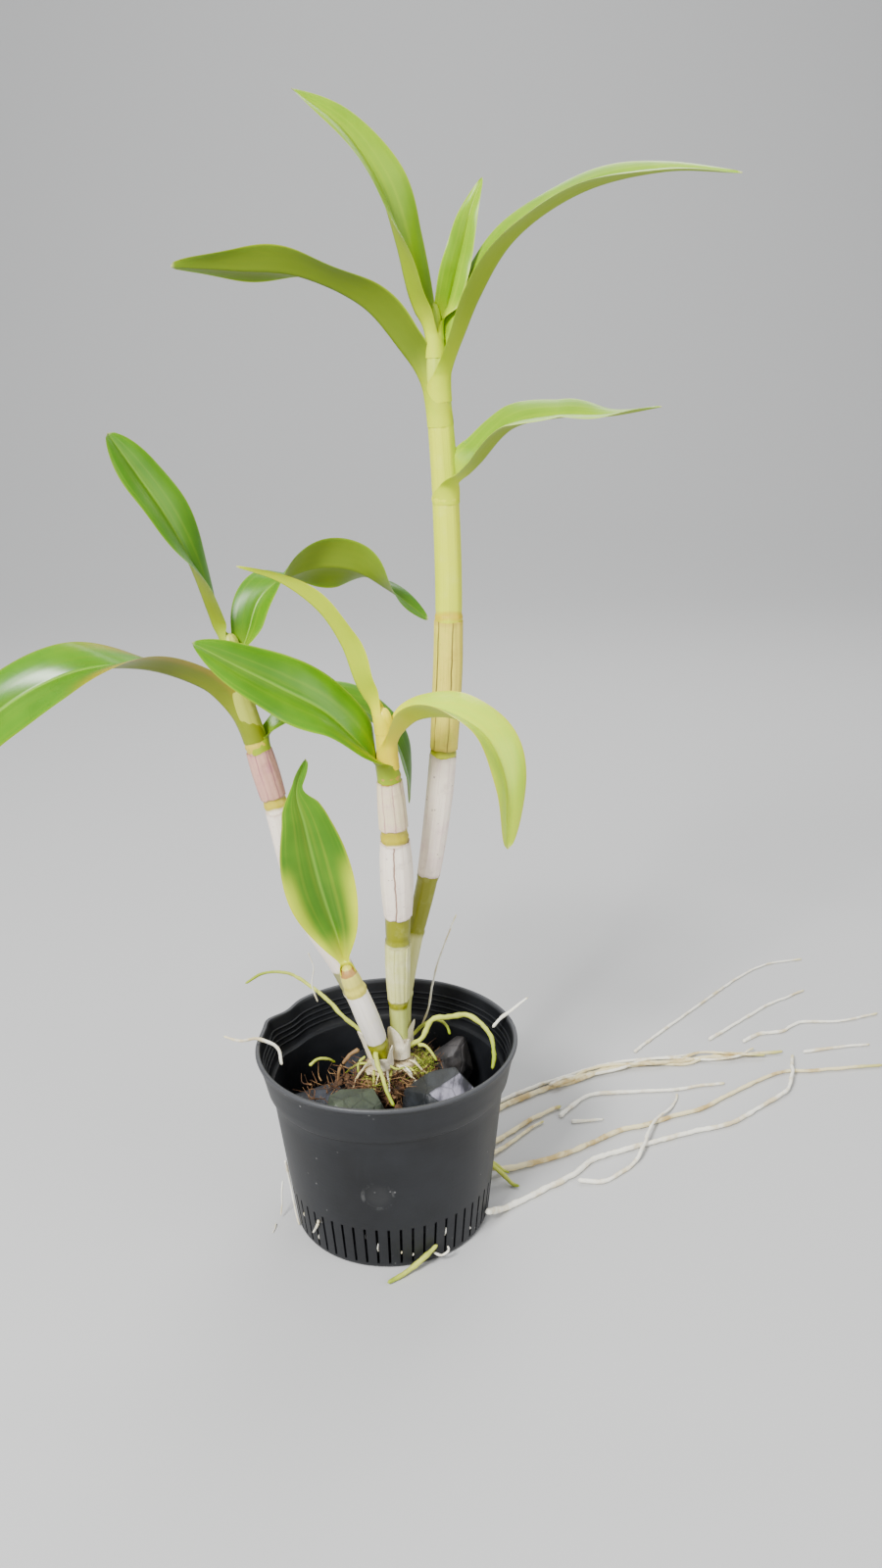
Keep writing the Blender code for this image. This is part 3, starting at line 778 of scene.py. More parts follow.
def rolled_skin(
    bm: Mesh, place: Callable[[float, float], Vector], around: int, along: int
) -> None:
    """Rolls a grid into a closed skin and adds it to a mesh.

    Args:
        bm: The mesh that takes it.
        place: Gives the point at u round the skin and v along it, both 0 to 1.
        around: How many faces go round.
        along: How many go along.
    """
    if not bm.loops.layers.uv:
        bm.loops.layers.uv.new("UVMap")
    made = bmesh.ops.create_grid(bm, x_segments=around, y_segments=along, size=0.5, calc_uvs=True)["verts"]
    ends: list[bmesh.types.BMEdge] = []
    for vert in made:
        if abs(vert.co.y) > 0.5 - GRID_EDGE:
            ends += [e for e in vert.link_edges if abs(e.verts[0].co.y - e.verts[1].co.y) < NEARLY_ZERO]
    for vert in made:
        u, v = vert.co.x + 0.5, vert.co.y + 0.5
        vert.co = place(0.0 if u > 1 - GRID_EDGE else max(u, 0.0), min(max(v, 0.0), 1.0))
    bmesh.ops.remove_doubles(bm, verts=made, dist=SKIN_MERGE)
    rims = [edge for edge in set(ends) if edge.is_valid and edge.is_boundary]
    bmesh.ops.holes_fill(bm, edges=rims, sides=0)


def outward(bm: Mesh) -> Mesh:
    """Turns every face of a closed mesh outward."""
    bmesh.ops.recalc_face_normals(bm, faces=bm.faces[:])
    return bm


def skin_piece(
    name: str,
    place: Callable[[float, float], Vector],
    around: int,
    along: int,
    finish: Material,
    slot: Slot,
    stands_for: Sequence[str] = (),
    sharp: float = 50.0,
    remap: Callable[[float, float], tuple[float, float]] | None = None,
) -> None:
    """Makes one piece of a single rolled skin.

    Args:
        name: The piece's name.
        place: Gives the point at u round the skin and v along it, both 0 to 1.
        around: How many faces go round.
        along: How many go along.
        finish: Its material.
        slot: The record's slot that it belongs to.
        stands_for: The nodes that it is shown for.
        sharp: Edges bent more than this, in degrees, stay sharp.
        remap: Gives the u and v of its map where they aren't the ones that place takes.
    """
    bm = bmesh.new()
    rolled_skin(bm, place, around, along)
    if remap:
        uv = bm.loops.layers.uv.active
        for face in bm.faces:
            for loop in face.loops:
                loop[uv].uv = remap(*loop[uv].uv)
    join_piece(name, outward(bm), finish, slot, stands_for, sharp)


def solid_copy(node: str) -> Mesh:
    """A CAD node's solid as a mesh of its own, its loose triangles joined up."""
    bm = bmesh.new()
    bm.from_mesh(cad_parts[node].data)
    bmesh.ops.remove_doubles(bm, verts=bm.verts[:], dist=MERGE)
    return bm


def wobble(spot: Vector, scale: float, seed: float = 0.0) -> float:
    """Smooth noise from about -1 to 1 at a place, scale being waves per metre."""
    return noise.noise(spot * scale + Vector((seed, seed * 0.7, -seed)))


# ---------------------------------------------------------------- pot

def body_radius(height: float) -> float:
    """The pot's outer radius below the collar."""
    return FOOT_RADIUS + (SHOULDER_RADIUS - FOOT_RADIUS) * height / (POT_HEIGHT - COLLAR_DEPTH)


def corner(radius: float, height: float, *moves: tuple[float, float]) -> list[tuple[float, float]]:
    """Section points round a corner, by the millimetres out from it and up."""
    return [(radius + out * MM, height + up * MM) for out, up in moves]


@dataclass
class Pot:
    """The slotted black pot: one wall turned from its section, its slits and drains cut through."""

    ribs: tuple[float, ...] = (82 * MM, 85 * MM, 88 * MM, 91 * MM)
    rib_height: float = 0.45 * MM
    slit_rings: tuple[float, ...] = (SLIT_LOW, 8 * MM, 13 * MM, 18 * MM, SLIT_HIGH)
    columns: int = 4  # faces round the pot from slit to slit, the slit's own among them
    kink_bearing: float = 161.0
    # millimetres out, degrees from the kink's bearing, width in degrees
    kink: tuple[Point, ...] = ((1.5, 0, 5), (-1.7, -13, 7), (-0.6, 14, 8))
    # millimetres out, waves round the pot, start in degrees
    waves: tuple[Point, ...] = ((0.28, 2, 40), (0.16, 5, 0))
    sag: float = 0.9 * MM  # how far the rim dips beside the kink
    drain_faces: int = 20
    finish: PotPlastic = field(default_factory=PotPlastic)

    def outer_section(self) -> list[tuple[float, float]]:
        """Lists the outside from the foot's edge to the lip.

        Returns:
            Its points as (radius, height).
        """
        ledge = POT_HEIGHT - COLLAR_DEPTH
        low_collar = SHOULDER_RADIUS + LEDGE
        high_collar = RIM_RADIUS - LIP
        foot = corner(FOOT_RADIUS, 0, (-2.0, 0), (-1.2, 0.25), (-0.45, 0.8), (0.1, 1.7))
        above = [30 * MM, 38 * MM, 47 * MM, 56 * MM, 64 * MM, 70 * MM]
        body = [(body_radius(height), height) for height in [*self.slit_rings, *above]]
        lip_low = POT_HEIGHT - LIP_DEPTH
        shoulder = corner(SHOULDER_RADIUS, ledge, (-0.1, -0.9), (0.25, -0.1))
        collar = corner(low_collar, ledge, (-0.35, 0.7), (0, 1.3), (1.0, 6), (2.0, 11))
        collar += corner(high_collar, lip_low, (-0.6, -3.2), (-0.1, -0.5), (0.25, 0))
        lip = corner(RIM_RADIUS, lip_low, (-0.2, 0.45), (0, 1.1))
        lip += corner(RIM_RADIUS, POT_HEIGHT, (-0.1, -0.4), (-0.5, 0))
        return foot + body + shoulder + collar + lip

    def inner_section(self) -> list[tuple[float, float]]:
        """Lists the inside from the lip down to the foot of the slits.

        Returns:
            Its points as (radius, height).
        """
        ledge = POT_HEIGHT - COLLAR_DEPTH
        low = SHOULDER_RADIUS + LEDGE - WALL
        high = RIM_RADIUS - LIP - WALL
        section = corner(high, POT_HEIGHT, (0.5, 0), (0.1, -0.3))
        slope = (high - low) / (POT_HEIGHT - ledge - WALL)
        for rib in reversed(self.ribs):
            radius = low + slope * (rib - ledge - WALL)
            section += [
                (radius + slope * 0.7 * MM, rib + 0.7 * MM),
                (radius - self.rib_height, rib + 0.25 * MM),
                (radius - self.rib_height, rib - 0.25 * MM),
                (radius - slope * 0.7 * MM, rib - 0.7 * MM),
            ]
        section += corner(low, ledge + WALL, (0, 0.4), (-0.4, -0.1))
        section += corner(SHOULDER_RADIUS - WALL, ledge, (0.3, 0.2), (0, -0.6))
        heights = [64 * MM, 50 * MM, 38 * MM, *reversed(self.slit_rings)]
        return section + [(body_radius(height) - WALL, height) for height in heights]

    def section(self) -> list[tuple[float, float]]:
        """Lists the whole section, from the underside's centre round to the floor's top.

        Returns:
            Its points as (radius, height).
        """
        under = FOOT_RADIUS - FOOT_RING
        floor = FLOOR + RECESS
        drain_in, drain_out = DRAIN_RING - 5 * MM, DRAIN_RING + 5 * MM
        start = [
            (0, 0),
            (CENTRE_PAD - 1 * MM, 0),
            (CENTRE_PAD, 0),
            (CENTRE_PAD + RECESS, RECESS),
            (drain_in, RECESS),
            (drain_out, RECESS),
            (under - RECESS, RECESS),
            (under, 0),
        ]
        end = [(body_radius(floor) - WALL, floor), (drain_out, floor), (drain_in, floor), (0, floor)]
        return start + self.outer_section() + self.inner_section() + end

    def turned(self) -> Mesh:
        """Spins the section and gathers the columns so that every slit has one of its own width.

        Returns:
            The closed pot, without its openings.
        """
        bm = bmesh.new()
        verts = [bm.verts.new((radius, 0, height)) for radius, height in self.section()]
        edges = [bm.edges.new(pair) for pair in zip(verts, verts[1:])]
        steps = SLIT_COUNT * self.columns
        bmesh.ops.spin(
            bm, geom=verts + edges, cent=(0, 0, 0), axis=(0, 0, 1), angle=tau, steps=steps,
            use_merge=True,
        )
        bmesh.ops.remove_doubles(bm, verts=bm.verts[:], dist=MERGE)
        pitch = tau / SLIT_COUNT
        slit = SLIT_WIDTH / FOOT_RADIUS
        rest = (pitch - slit) / (self.columns - 1)
        for vert in bm.verts:
            radius = hypot(vert.co.x, vert.co.y)
            if radius < NEARLY_ZERO:
                continue
            step = round(atan2(vert.co.y, vert.co.x) / tau * steps) % steps
            group, column = divmod(step, self.columns)
            turn = group * pitch - slit / 2 + (0 if column == 0 else slit + rest * (column - 1))
            vert.co = (radius * cos(turn), radius * sin(turn), vert.co.z)
        return outward(bm)

    def cut_slits(self, bm: Mesh) -> None:
        """Opens the slit columns in both faces of the wall and joins their edges.

        Args:
            bm: The pot.
        """
        pitch = tau / SLIT_COUNT
        doomed: dict[int, list[bmesh.types.BMFace]] = {}
        for face in bm.faces:
            middle = face.calc_center_median()
            radius = hypot(middle.x, middle.y)
            if not SLIT_LOW < middle.z < SLIT_HIGH or radius < FOOT_RADIUS * 0.9:
                continue
            share = atan2(middle.y, middle.x) / pitch
            if abs(share - round(share)) < 0.5 * SLIT_WIDTH / FOOT_RADIUS / pitch:
                doomed.setdefault(round(share) % SLIT_COUNT, []).append(face)
        loops = []
        for faces in doomed.values():
            chosen = set(faces)
            loops.append([
                edge for face in faces for edge in face.edges
                if sum(other in chosen for other in edge.link_faces) == 1
            ])
        bmesh.ops.delete(bm, geom=[face for faces in doomed.values() for face in faces], context="FACES")
        for loop in loops:
            bmesh.ops.bridge_loops(bm, edges=[edge for edge in dict.fromkeys(loop) if edge.is_valid])

    def bend(self, bm: Mesh) -> None:
        """Gives the rim its small kink, and the wall the waves that thin moulded plastic takes.

        Args:
            bm: The pot.
        """
        for vert in bm.verts:
            radius = hypot(vert.co.x, vert.co.y)
            if radius < FOOT_RADIUS * 0.8:
                continue
            bearing = degrees(atan2(vert.co.y, vert.co.x)) % 360
            rise = smooth(vert.co.z, 30 * MM, POT_HEIGHT)
            from_kink = (bearing - self.kink_bearing + 180) % 360 - 180
            kink = sum(out * hump(from_kink, at, width) for out, at, width in self.kink)
            wave = sum(out * sin(radians(n * bearing + start)) for out, n, start in self.waves)
            shift = (kink * rise**2 + wave * rise) * MM
            vert.co.x *= 1 + shift / radius
            vert.co.y *= 1 + shift / radius
            vert.co.z -= self.sag * hump(from_kink, -11, 8) * smooth(vert.co.z, 85 * MM, POT_HEIGHT)

    def build(self) -> None:
        """Makes the pot and cuts its drains."""
        bm = self.turned()
        self.cut_slits(bm)
        self.bend(bm)
        outward(bm)
        pot = join_piece("pot_shell", bm, self.finish.material(), Slot.POT, ["pot"], sharp=38)
        cutter = bmesh.new()
        for drain in range(DRAIN_COUNT):
            spot = polar(360 * (drain + 0.5) / DRAIN_COUNT, DRAIN_RING, 0)
            bmesh.ops.create_cone(
                cutter, cap_ends=True, segments=self.drain_faces, radius1=DRAIN_RADIUS,
                radius2=DRAIN_RADIUS, depth=FLOOR * 6, matrix=Matrix.Translation(spot),
            )
        mesh = bpy.data.meshes.new("drain_cutter")
        cutter.to_mesh(mesh)
        cutter.free()
        tool = bpy.data.objects.new("drain_cutter", mesh)
        bpy.context.scene.collection.objects.link(tool)
        cut = pot.modifiers.new("drains", "BOOLEAN")
        cut.object = tool
        cut.operation = "DIFFERENCE"
        bpy.context.view_layer.objects.active = pot
        with bpy.context.temp_override(object=pot, active_object=pot, selected_objects=[pot]):
            bpy.ops.object.modifier_apply(modifier=cut.name)
        bpy.data.objects.remove(tool)


# ---------------------------------------------------------------- filling

@dataclass(frozen=True)
class LumpLook:
    """How one lump of charcoal is worked up from its plain solid."""

    node: str
    finish: CharcoalStone
    edge: float  # how wide its edges are bevelled
    cuts: int  # how often each edge is then divided
    rounding: int  # rounds of smoothing
    rough: float  # how far its skin is roughened
    highlight_facet: Point = (0.5, -0.35, 0.78)  # the way that the face with the painted highlight looks


@dataclass
class Filling:
    """What the pot holds: charcoal, the bark plug, loose fibre, chips and moss."""

    seed: int = 7
    bristles: int = 330  # strands of fibre round the crown
    scattered: int = 46  # strands that lie over the charcoal at the left
    chip_count: int = 70
    tufts: int = 300  # strands of moss at the crown's right
    front_tufts: int = 90  # the same at its front
    strand_faces: int = 4
    strand_rings: int = 5

    def lumps(self) -> None:
        """Works up every charcoal lump from its node's solid."""
        plain = CharcoalStone("charcoal_plain")
        mossy = CharcoalStone(
            "charcoal_mossy", tone(44, 50, 44), tone(86, 94, 82), tone(82, 92, 70), mossy=0.55
        )
        # the bright lump gets a painted highlight on the face that looks the lit way
        bright = CharcoalStone(
            "charcoal_bright", tone(22, 25, 28), tone(50, 54, 59), highlight_strength=0.8
        )
        brownish = CharcoalStone(
            "charcoal_brownish", tone(34, 33, 34), tone(88, 84, 84), tone(66, 58, 52), mossy=0.3
        )
        looks = [
            LumpLook("charcoal_front_left", mossy, 2.6 * MM, 3, 8, 0.35 * MM),
            LumpLook("charcoal_front_right", bright, 0.6 * MM, 3, 0, 0.2 * MM),
            LumpLook("charcoal_right", brownish, 2.2 * MM, 3, 14, 1.1 * MM),
            LumpLook("charcoal_left", plain, 1.0 * MM, 3, 0, 0.6 * MM),
            LumpLook("charcoal_back", plain, 1.0 * MM, 2, 0, 0.6 * MM),
        ]
        looks += [
            LumpLook(f"charcoal_{row}_{i + 1}", plain, 0.8 * MM, 1, 0, 0.5 * MM)
            for row in ("low", "mid") for i in range(4)
        ]
        dressed = {look.finish.name: look.finish.material() for look in looks[:4]}
        for look in looks:
            self.lump(look, dressed[look.finish.name])

    @staticmethod
    def lump(look: LumpLook, finish: Material) -> None:
        """Bevels, divides and roughens a copy of one lump's solid.

        Args:
            look: How it is worked.
            finish: Its material.
        """
        bm = solid_copy(look.node)
        bmesh.ops.dissolve_limit(bm, angle_limit=radians(2), verts=bm.verts[:], edges=bm.edges[:])
        bmesh.ops.bevel(
            bm, geom=bm.edges[:], offset=look.edge, segments=2, profile=0.5, affect="EDGES", material=-1,
            clamp_overlap=True,
        )
        bmesh.ops.triangulate(bm, faces=bm.faces[:])
        bmesh.ops.subdivide_edges(bm, edges=bm.edges[:], cuts=look.cuts, use_grid_fill=True)
        for _ in range(look.rounding):
            bmesh.ops.smooth_vert(
                bm, verts=bm.verts[:], factor=0.5, use_axis_x=True, use_axis_y=True, use_axis_z=True
            )
        bm.normal_update()
        # u marks how far each face looks the way that gets the painted highlight
        uv = bm.loops.layers.uv.verify()
        towards = Vector(look.highlight_facet).normalized()
        for face in bm.faces:
            for loop in face.loops:
                loop[uv].uv = (smooth(face.normal.dot(towards), 0.9, 0.97), 0.5)
        for vert in bm.verts:
            coarse = wobble(vert.co, 110, 3.0)
            fine = wobble(Vector((vert.co.x, vert.co.y * 0.3, vert.co.z)), 420, 8.0)
            vert.co += vert.normal * look.rough * (0.7 * coarse + 0.3 * fine - 0.25)
        join_piece(look.node + "_lump", outward(bm), finish, Slot.CHARCOAL, [look.node], sharp=62)

    def plug(self) -> None:
        """The plug of bark and dead roots under the crown, heavily broken up."""
        bm = solid_copy("fibre_plug")
        bmesh.ops.triangulate(bm, faces=bm.faces[:])
        bmesh.ops.subdivide_edges(bm, edges=bm.edges[:], cuts=4, use_grid_fill=True)
        bm.normal_update()
        for vert in bm.verts:
            rough = wobble(vert.co, 210, 1.0) + 0.5 * wobble(vert.co, 520, 4.0)
            vert.co += vert.normal * MM * (1.6 * rough - 0.4)
        finish = BarkFibre("bark_plug").material()
        join_piece("fibre_plug_bark", outward(bm), finish, Slot.FIBRE, ["fibre_plug"])

    def strand(
        self,
        bm: Mesh,
        draw: random.Random,
        start: Vector,
        lean: Vector,
        length: float,
        thick: float,
    ) -> None:
        """Adds one short bent strand.

        Args:
            bm: The mesh that takes it.
            draw: The random draws.
            start: Where it grows from.
            lean: The way it leans.
            length: Its length.
            thick: Its radius at the foot.
        """
        bend = Vector((draw.gauss(0, 1), draw.gauss(0, 1), draw.gauss(0, 0.5))) * length * 0.3
        path = Curve([start, start + lean * length * 0.5 + bend, start + lean * length - bend * 0.3])

        def place(u: float, v: float) -> Vector:
            """A point on the strand's skin."""
            side, normal = across(path.tangent(v), Vector((0.3, 0.2, 1)))
            size = thick * (1 - 0.75 * v)
            return path.point(v) + round_way(side, normal, u) * size

        rolled_skin(bm, place, self.strand_faces, self.strand_rings)

    def loose_fibre(self) -> None:
        """Dead roots and bark fibres that bristle round the crown."""
        draw = random.Random(self.seed)
        bm = bmesh.new()
        for _ in range(self.bristles):
            arcs = (draw.uniform(-185, -20), draw.uniform(-60, 60), draw.uniform(-140, -60))
            bearing = draw.choice(arcs)
            reach = draw.uniform(11, 24) * MM
            start = polar(bearing, reach, CROWN_LOW + draw.uniform(-6, 2.5) * MM)
            out = polar(bearing + draw.uniform(-70, 70), draw.uniform(0.3, 1), draw.uniform(-0.5, 0.9))
            length, thick = draw.uniform(4, 12) * MM, draw.uniform(0.18, 0.5) * MM
            self.strand(bm, draw, start, out.normalized(), length, thick)
        for _ in range(self.scattered):
            bearing = draw.uniform(-178, -128)
            start = polar(bearing, draw.uniform(24, 41) * MM, CROWN_LOW - draw.uniform(4, 9) * MM)
            out = polar(bearing + draw.uniform(-90, 90), draw.uniform(0.4, 1), draw.uniform(0.1, 1.0))
            length, thick = draw.uniform(4, 10) * MM, draw.uniform(0.2, 0.5) * MM
            self.strand(bm, draw, start, out.normalized(), length, thick)
        finish = BarkFibre("loose_fibre", tone(38, 22, 12), tone(100, 66, 36), tone(166, 132, 86))
        join_piece("loose_fibre", outward(bm), finish.material(), Slot.FIBRE)

    def chips(self) -> None:
        """Broken flakes of bark between the lumps."""
        draw = random.Random(self.seed + 1)
        bm = bmesh.new()
        for _ in range(self.chip_count):
            bearing = draw.choice((draw.uniform(-180, -20), draw.uniform(0, 60)))
            spot = polar(bearing, draw.uniform(12, 27) * MM, CROWN_LOW + draw.uniform(-8, -1) * MM)
            made = bmesh.ops.create_icosphere(bm, subdivisions=2, radius=1.0)["verts"]
            seed = draw.uniform(0, 50)
            size = Vector((draw.uniform(1.2, 3.4), draw.uniform(0.9, 2.2), draw.uniform(0.4, 1.0))) * MM
            turn = Matrix.Rotation(draw.uniform(0, tau), 3, "Z")
            turn = turn @ Matrix.Rotation(draw.gauss(0, 0.5), 3, "X")
            for vert in made:
                rough = 1 + 0.45 * wobble(vert.co, 1.7, seed)
                flat = Vector((vert.co.x * size.x, vert.co.y * size.y, vert.co.z * size.z)) * rough
                vert.co = spot + turn @ flat
        finish = BarkFibre("bark_chips", tone(36, 24, 16), tone(88, 60, 36), tone(150, 116, 76))
        join_piece("bark_chips", outward(bm), finish.material(), Slot.FIBRE)

    def moss(self) -> None:
        """Tufts of moss at the right of the crown, and a few at its front."""
        draw = random.Random(self.seed + 2)
        bm = bmesh.new()
        for _ in range(self.tufts):
            bearing = draw.gauss(8, 26)
            reach = draw.uniform(12, 23) * MM
            start = polar(bearing, reach, CROWN_LOW + draw.uniform(-3, 2.0) * MM)
            lean = Vector((draw.gauss(0.25, 0.5), draw.gauss(-0.1, 0.5), draw.uniform(0.2, 1.0)))
            length, thick = draw.uniform(1.5, 5) * MM, draw.uniform(0.16, 0.42) * MM
            self.strand(bm, draw, start, lean.normalized(), length, thick)
        for _ in range(self.front_tufts):
            bearing = draw.gauss(-118, 14)
            start = polar(bearing, draw.uniform(13, 19) * MM, CROWN_LOW + draw.uniform(-3, 1) * MM)
            lean = Vector((draw.gauss(0, 0.5), draw.gauss(-0.3, 0.5), draw.uniform(0.2, 1.0)))
            length, thick = draw.uniform(1.5, 4) * MM, draw.uniform(0.14, 0.3) * MM
            self.strand(bm, draw, start, lean.normalized(), length, thick)
        join_piece("moss_tufts", outward(bm), MossGreen().material(), Slot.FIBRE)

    def build(self) -> None:
        """Makes everything in the pot that isn't the plant."""
        self.lumps()
        self.plug()
        self.loose_fibre()
        self.chips()
        self.moss()


# ---------------------------------------------------------------- canes

class Cane:
    """A cane's middle line in millimetres above the crown, and its radius along it."""

    dome: float = 5.0  # the length over which a cane's top rounds off
    faces_round: int = 44
    ring_pitch: float = 0.9

    def __init__(
        self, name: str, route: Sequence[Point], radii: Sequence[float], joints: Sequence[float]
    ) -> None:
        """Keeps the cane's measures.

        Args:
            name: The cane's node.
            route: Its middle line.
            radii: Its radii at even stations.
            joints: The rises of its joints.
        """
        self.name = name
        self.line = Curve([(x * MM, y * MM, CROWN_TOP + z * MM) for x, y, z in route])
        self.radii = values([radius * MM for radius in radii])
        self.height = route[-1][2]
        self.joints = joints
        self.measured = lru_cache(maxsize=None)(self._measure)

    def share(self, rise: float) -> float:
        """Finds the place on the line at a rise.

        Args:
            rise: Millimetres above the crown.

        Returns:
            The share of the line, 0 to 1.
        """
        low, high = 0.0, 1.0
        target = self.line.points[0][2] + rise * MM
        for _ in range(24):
            middle = (low + high) / 2
            if self.line.at(middle)[2] < target:
                low = middle
            else:
                high = middle
        return low

    def _measure(self, rise: float) -> tuple[Vector, Vector, Vector, float]:
        """Works out what frame_at gives.

        Args:
            rise: Millimetres above the crown.

        Returns:
            The centre, side, normal and radius there.
        """
        share = self.share(rise)
        side, normal = across(self.line.tangent(share), Vector((0, 1, 0)))
        return self.line.point(share), side, normal, max(self.radii.at(share)[0], 0.4 * MM)

    def frame_at(self, rise: float) -> tuple[Vector, Vector, Vector, float]:
        """The centre, side, normal and radius at a rise, worked out once for each."""
        return self.measured(round(rise, 3))

    def facing(self, bearing: float, rise: float) -> tuple[Vector, Vector, float]:
        """Looks out from the middle line, square to it.

        Args:
            bearing: The way to look, in degrees.
            rise: Millimetres above the crown.

        Returns:
            The line's point, the direction and the radius there.
        """
        centre, side, normal, radius = self.frame_at(rise)
        ahead, _ = across(side.cross(normal), polar(bearing, 1, 0))
        return centre, ahead, radius

    def skin(self, u: float, rise: float, extra: float = 0.0) -> Vector:
        """A point on or off the cane's skin.

        Args:
            u: The share of a turn round it, 0 at the back, 0.25 left, 0.5 front.
            rise: Millimetres above the crown.
            extra: Metres out from the skin.

        Returns:
            The point.
        """
        centre, side, normal, radius = self.frame_at(rise)
        return centre + round_way(side, normal, u) * (radius + extra)

    def build(self, finish: CaneFinish) -> None:
        """Makes the cane with its fluting and swollen joints.

        Args:
            finish: Its bands.
        """
        def place(u: float, v: float) -> Vector:
            """Finds a point on the cane.

            Args:
                u: The share of a turn.
                v: The share of its height.

            Returns:
                The point.
            """
            rise = v * self.height
            turn = tau * u
            flute = 0.10 * sin(9 * turn + 0.02 * rise) + 0.06 * sin(5 * turn + 1)
            joint = sum(0.38 * hump(rise, j, 1.1) - 0.16 * hump(rise, j + 2.4, 0.8) for j in self.joints)
            close = smooth(rise, -0.5, 1.5)
            round_off = 1 - sqrt(1 - max((rise - self.height + self.dome) / self.dome, 0.0) ** 2)
            taper = round_off * self.frame_at(rise)[3]
            return self.skin(u, rise, (flute + joint) * MM * close - taper)

        rings = round(self.height / self.ring_pitch)
        skin_piece(
            self.name + "_skin", place, self.faces_round, rings, finish.material(), Slot.CANE, [self.name]
        )


@dataclass(frozen=True)
class Sheath:
    """A dry sleeve round a cane from one rise to another, with a lapped seam and torn ends.

    Lengths are in millimetres.
    """

    node: str
    cane: Cane
    low: float
    high: float
    finish: SheathFinish
    stand_off: float = 0.2  # how far its middle stands off the cane
    seam: float = 0.44  # where its lapped edge is, as a share of a turn
    lap: float = 0.35
    torn: float = 1.2
    wrinkle: float = 0.16
    thickness: float = 0.32
    faces_round: int = 72
    ring_pitch: float = 1.1

    def offset(self, u: float, level: float) -> float:
        """How far the sleeve's inside stands off the cane.

        Args:
            u: The share of a turn.
            level: The share of the sleeve's length.

        Returns:
            Millimetres.
        """
        past = (u - self.seam) % 1.0
        lap = self.lap * exp(-past * 13) - self.lap * 0.2 * exp(-(1 - past) * 30)
        spot = polar(360 * u, 2.2, level * (self.high - self.low) / 16)
        ridges = sin(tau * u * 14 + 3 * level)
        crease = self.wrinkle * noise.noise(spot) + 0.5 * self.wrinkle * ridges
        return 0.22 + self.stand_off * sin(pi * level) * 1.4 + lap + crease

    def build(self) -> None:
        """Makes the sleeve as one closed thin shell."""
        rings = max(round((self.high - self.low) / self.ring_pitch), 8)
        steps = 2 * rings + 2

        def place(u: float, v: float) -> Vector:
            """Finds a point on the outside going up, then on the inside coming down.

            Args:
                u: The share of a turn.
                v: The share of the way up and down again.

            Returns:
                The point.
            """
            i = round(v * steps) % steps
            outer = i <= rings
            level = (i if outer else steps - 1 - i) / rings
            spot = polar(360 * u, 1.6, 5.0 if level > 0.5 else 0.0)
            tear = self.torn * (noise.noise(spot) + 0.35 * noise.noise(spot * 3.1))
            rise = self.low + (self.high - self.low) * level + tear * (abs(2 * level - 1) ** 6)
            extra = self.offset(u, level) + (self.thickness if outer else 0)
            return self.cane.skin(u, rise, extra * MM)

        def remap(u: float, v: float) -> tuple[float, float]:
            """Runs the map up the inside as it does up the outside."""
            share = v * steps
            return u, (share if share <= rings + 0.5 else steps - share) / rings

        skin_piece(
            self.node + "_sleeve", place, self.faces_round, steps, self.finish.material(), Slot.SHEATH,
            [self.node], remap=remap,
        )


@dataclass(frozen=True)
class Scale:
    """A pointed scrap of old sleeve that clings to the foot of a cane.

    Lengths are in millimetres and angles in degrees.
    """

    name: str
    cane: Cane
    bearing: float
    low: float
    high: float
    half_angle: float
    peel: float  # how far its point stands off the cane
    thickness: float = 0.4
    faces_round: int = 40
    rings: int = 26

    def build(self, finish: Material) -> None:
        """Makes the scale as one closed thin flap.

        Args:
            finish: Its material.
        """
        def place(u: float, v: float) -> Vector:
            """Finds a point on the outside for u below a half, on the inside above it.

            Args:
                u: The share of the way round the flap.
                v: The share of its height.

            Returns:
                The point.
            """
            s = cos(tau * u)
            reach = self.half_angle * max(1 - v**1.7, 0.0) ** 0.75
            rise = self.low + (self.high - self.low) * v
            centre, ahead, radius = self.cane.facing(self.bearing + s * reach, rise)
            crease = 0.3 * noise.noise(Vector((s * 2.3, v * 3.1, self.bearing)))
            skin = self.thickness * sqrt(max(1 - s * s, 0)) * (1 if u <= 0.5 else 0)
            return centre + ahead * (radius + (0.75 + self.peel * v * v + crease + skin) * MM)

        skin_piece(self.name, place, self.faces_round, self.rings, finish, Slot.SHEATH)


# ---------------------------------------------------------------- leaves

def blade_share(v: float, widest: float, base: float, power: float) -> float:
    """Half-width along a leaf as a share of its widest.

    Args:
        v: The share of the leaf's length.
        widest: Where it is widest.
        base: The share that its foot keeps.
        power: How sharply it narrows from there to both ends.

    Returns:
        The share of the greatest half-width.
    """
    up, down = power * widest, power * (1 - widest)
    peak = widest**up * (1 - widest) ** down
    return v**up * (1 - v) ** down / peak + base * (1 - v) ** 3


@dataclass(frozen=True)
class Station:
    """What every point across a leaf shares at one place along it."""

    along: float  # the share of the blade's line
    spot: Vector  # the line's point
    turned: Vector  # the way across the blade
    raised: Vector  # the way up from it
    half: float  # half its width
    fold: float  # how far its halves lift, in radians
    thick: float
    rise: float  # where its foot clasps the cane, in millimetres above the crown
    wrap: float  # how far round the cane the foot goes each way, in degrees
    stand: float  # how far the foot stands off the cane, in millimetres
    opened: float  # 0 while it clasps, 1 where it is all blade


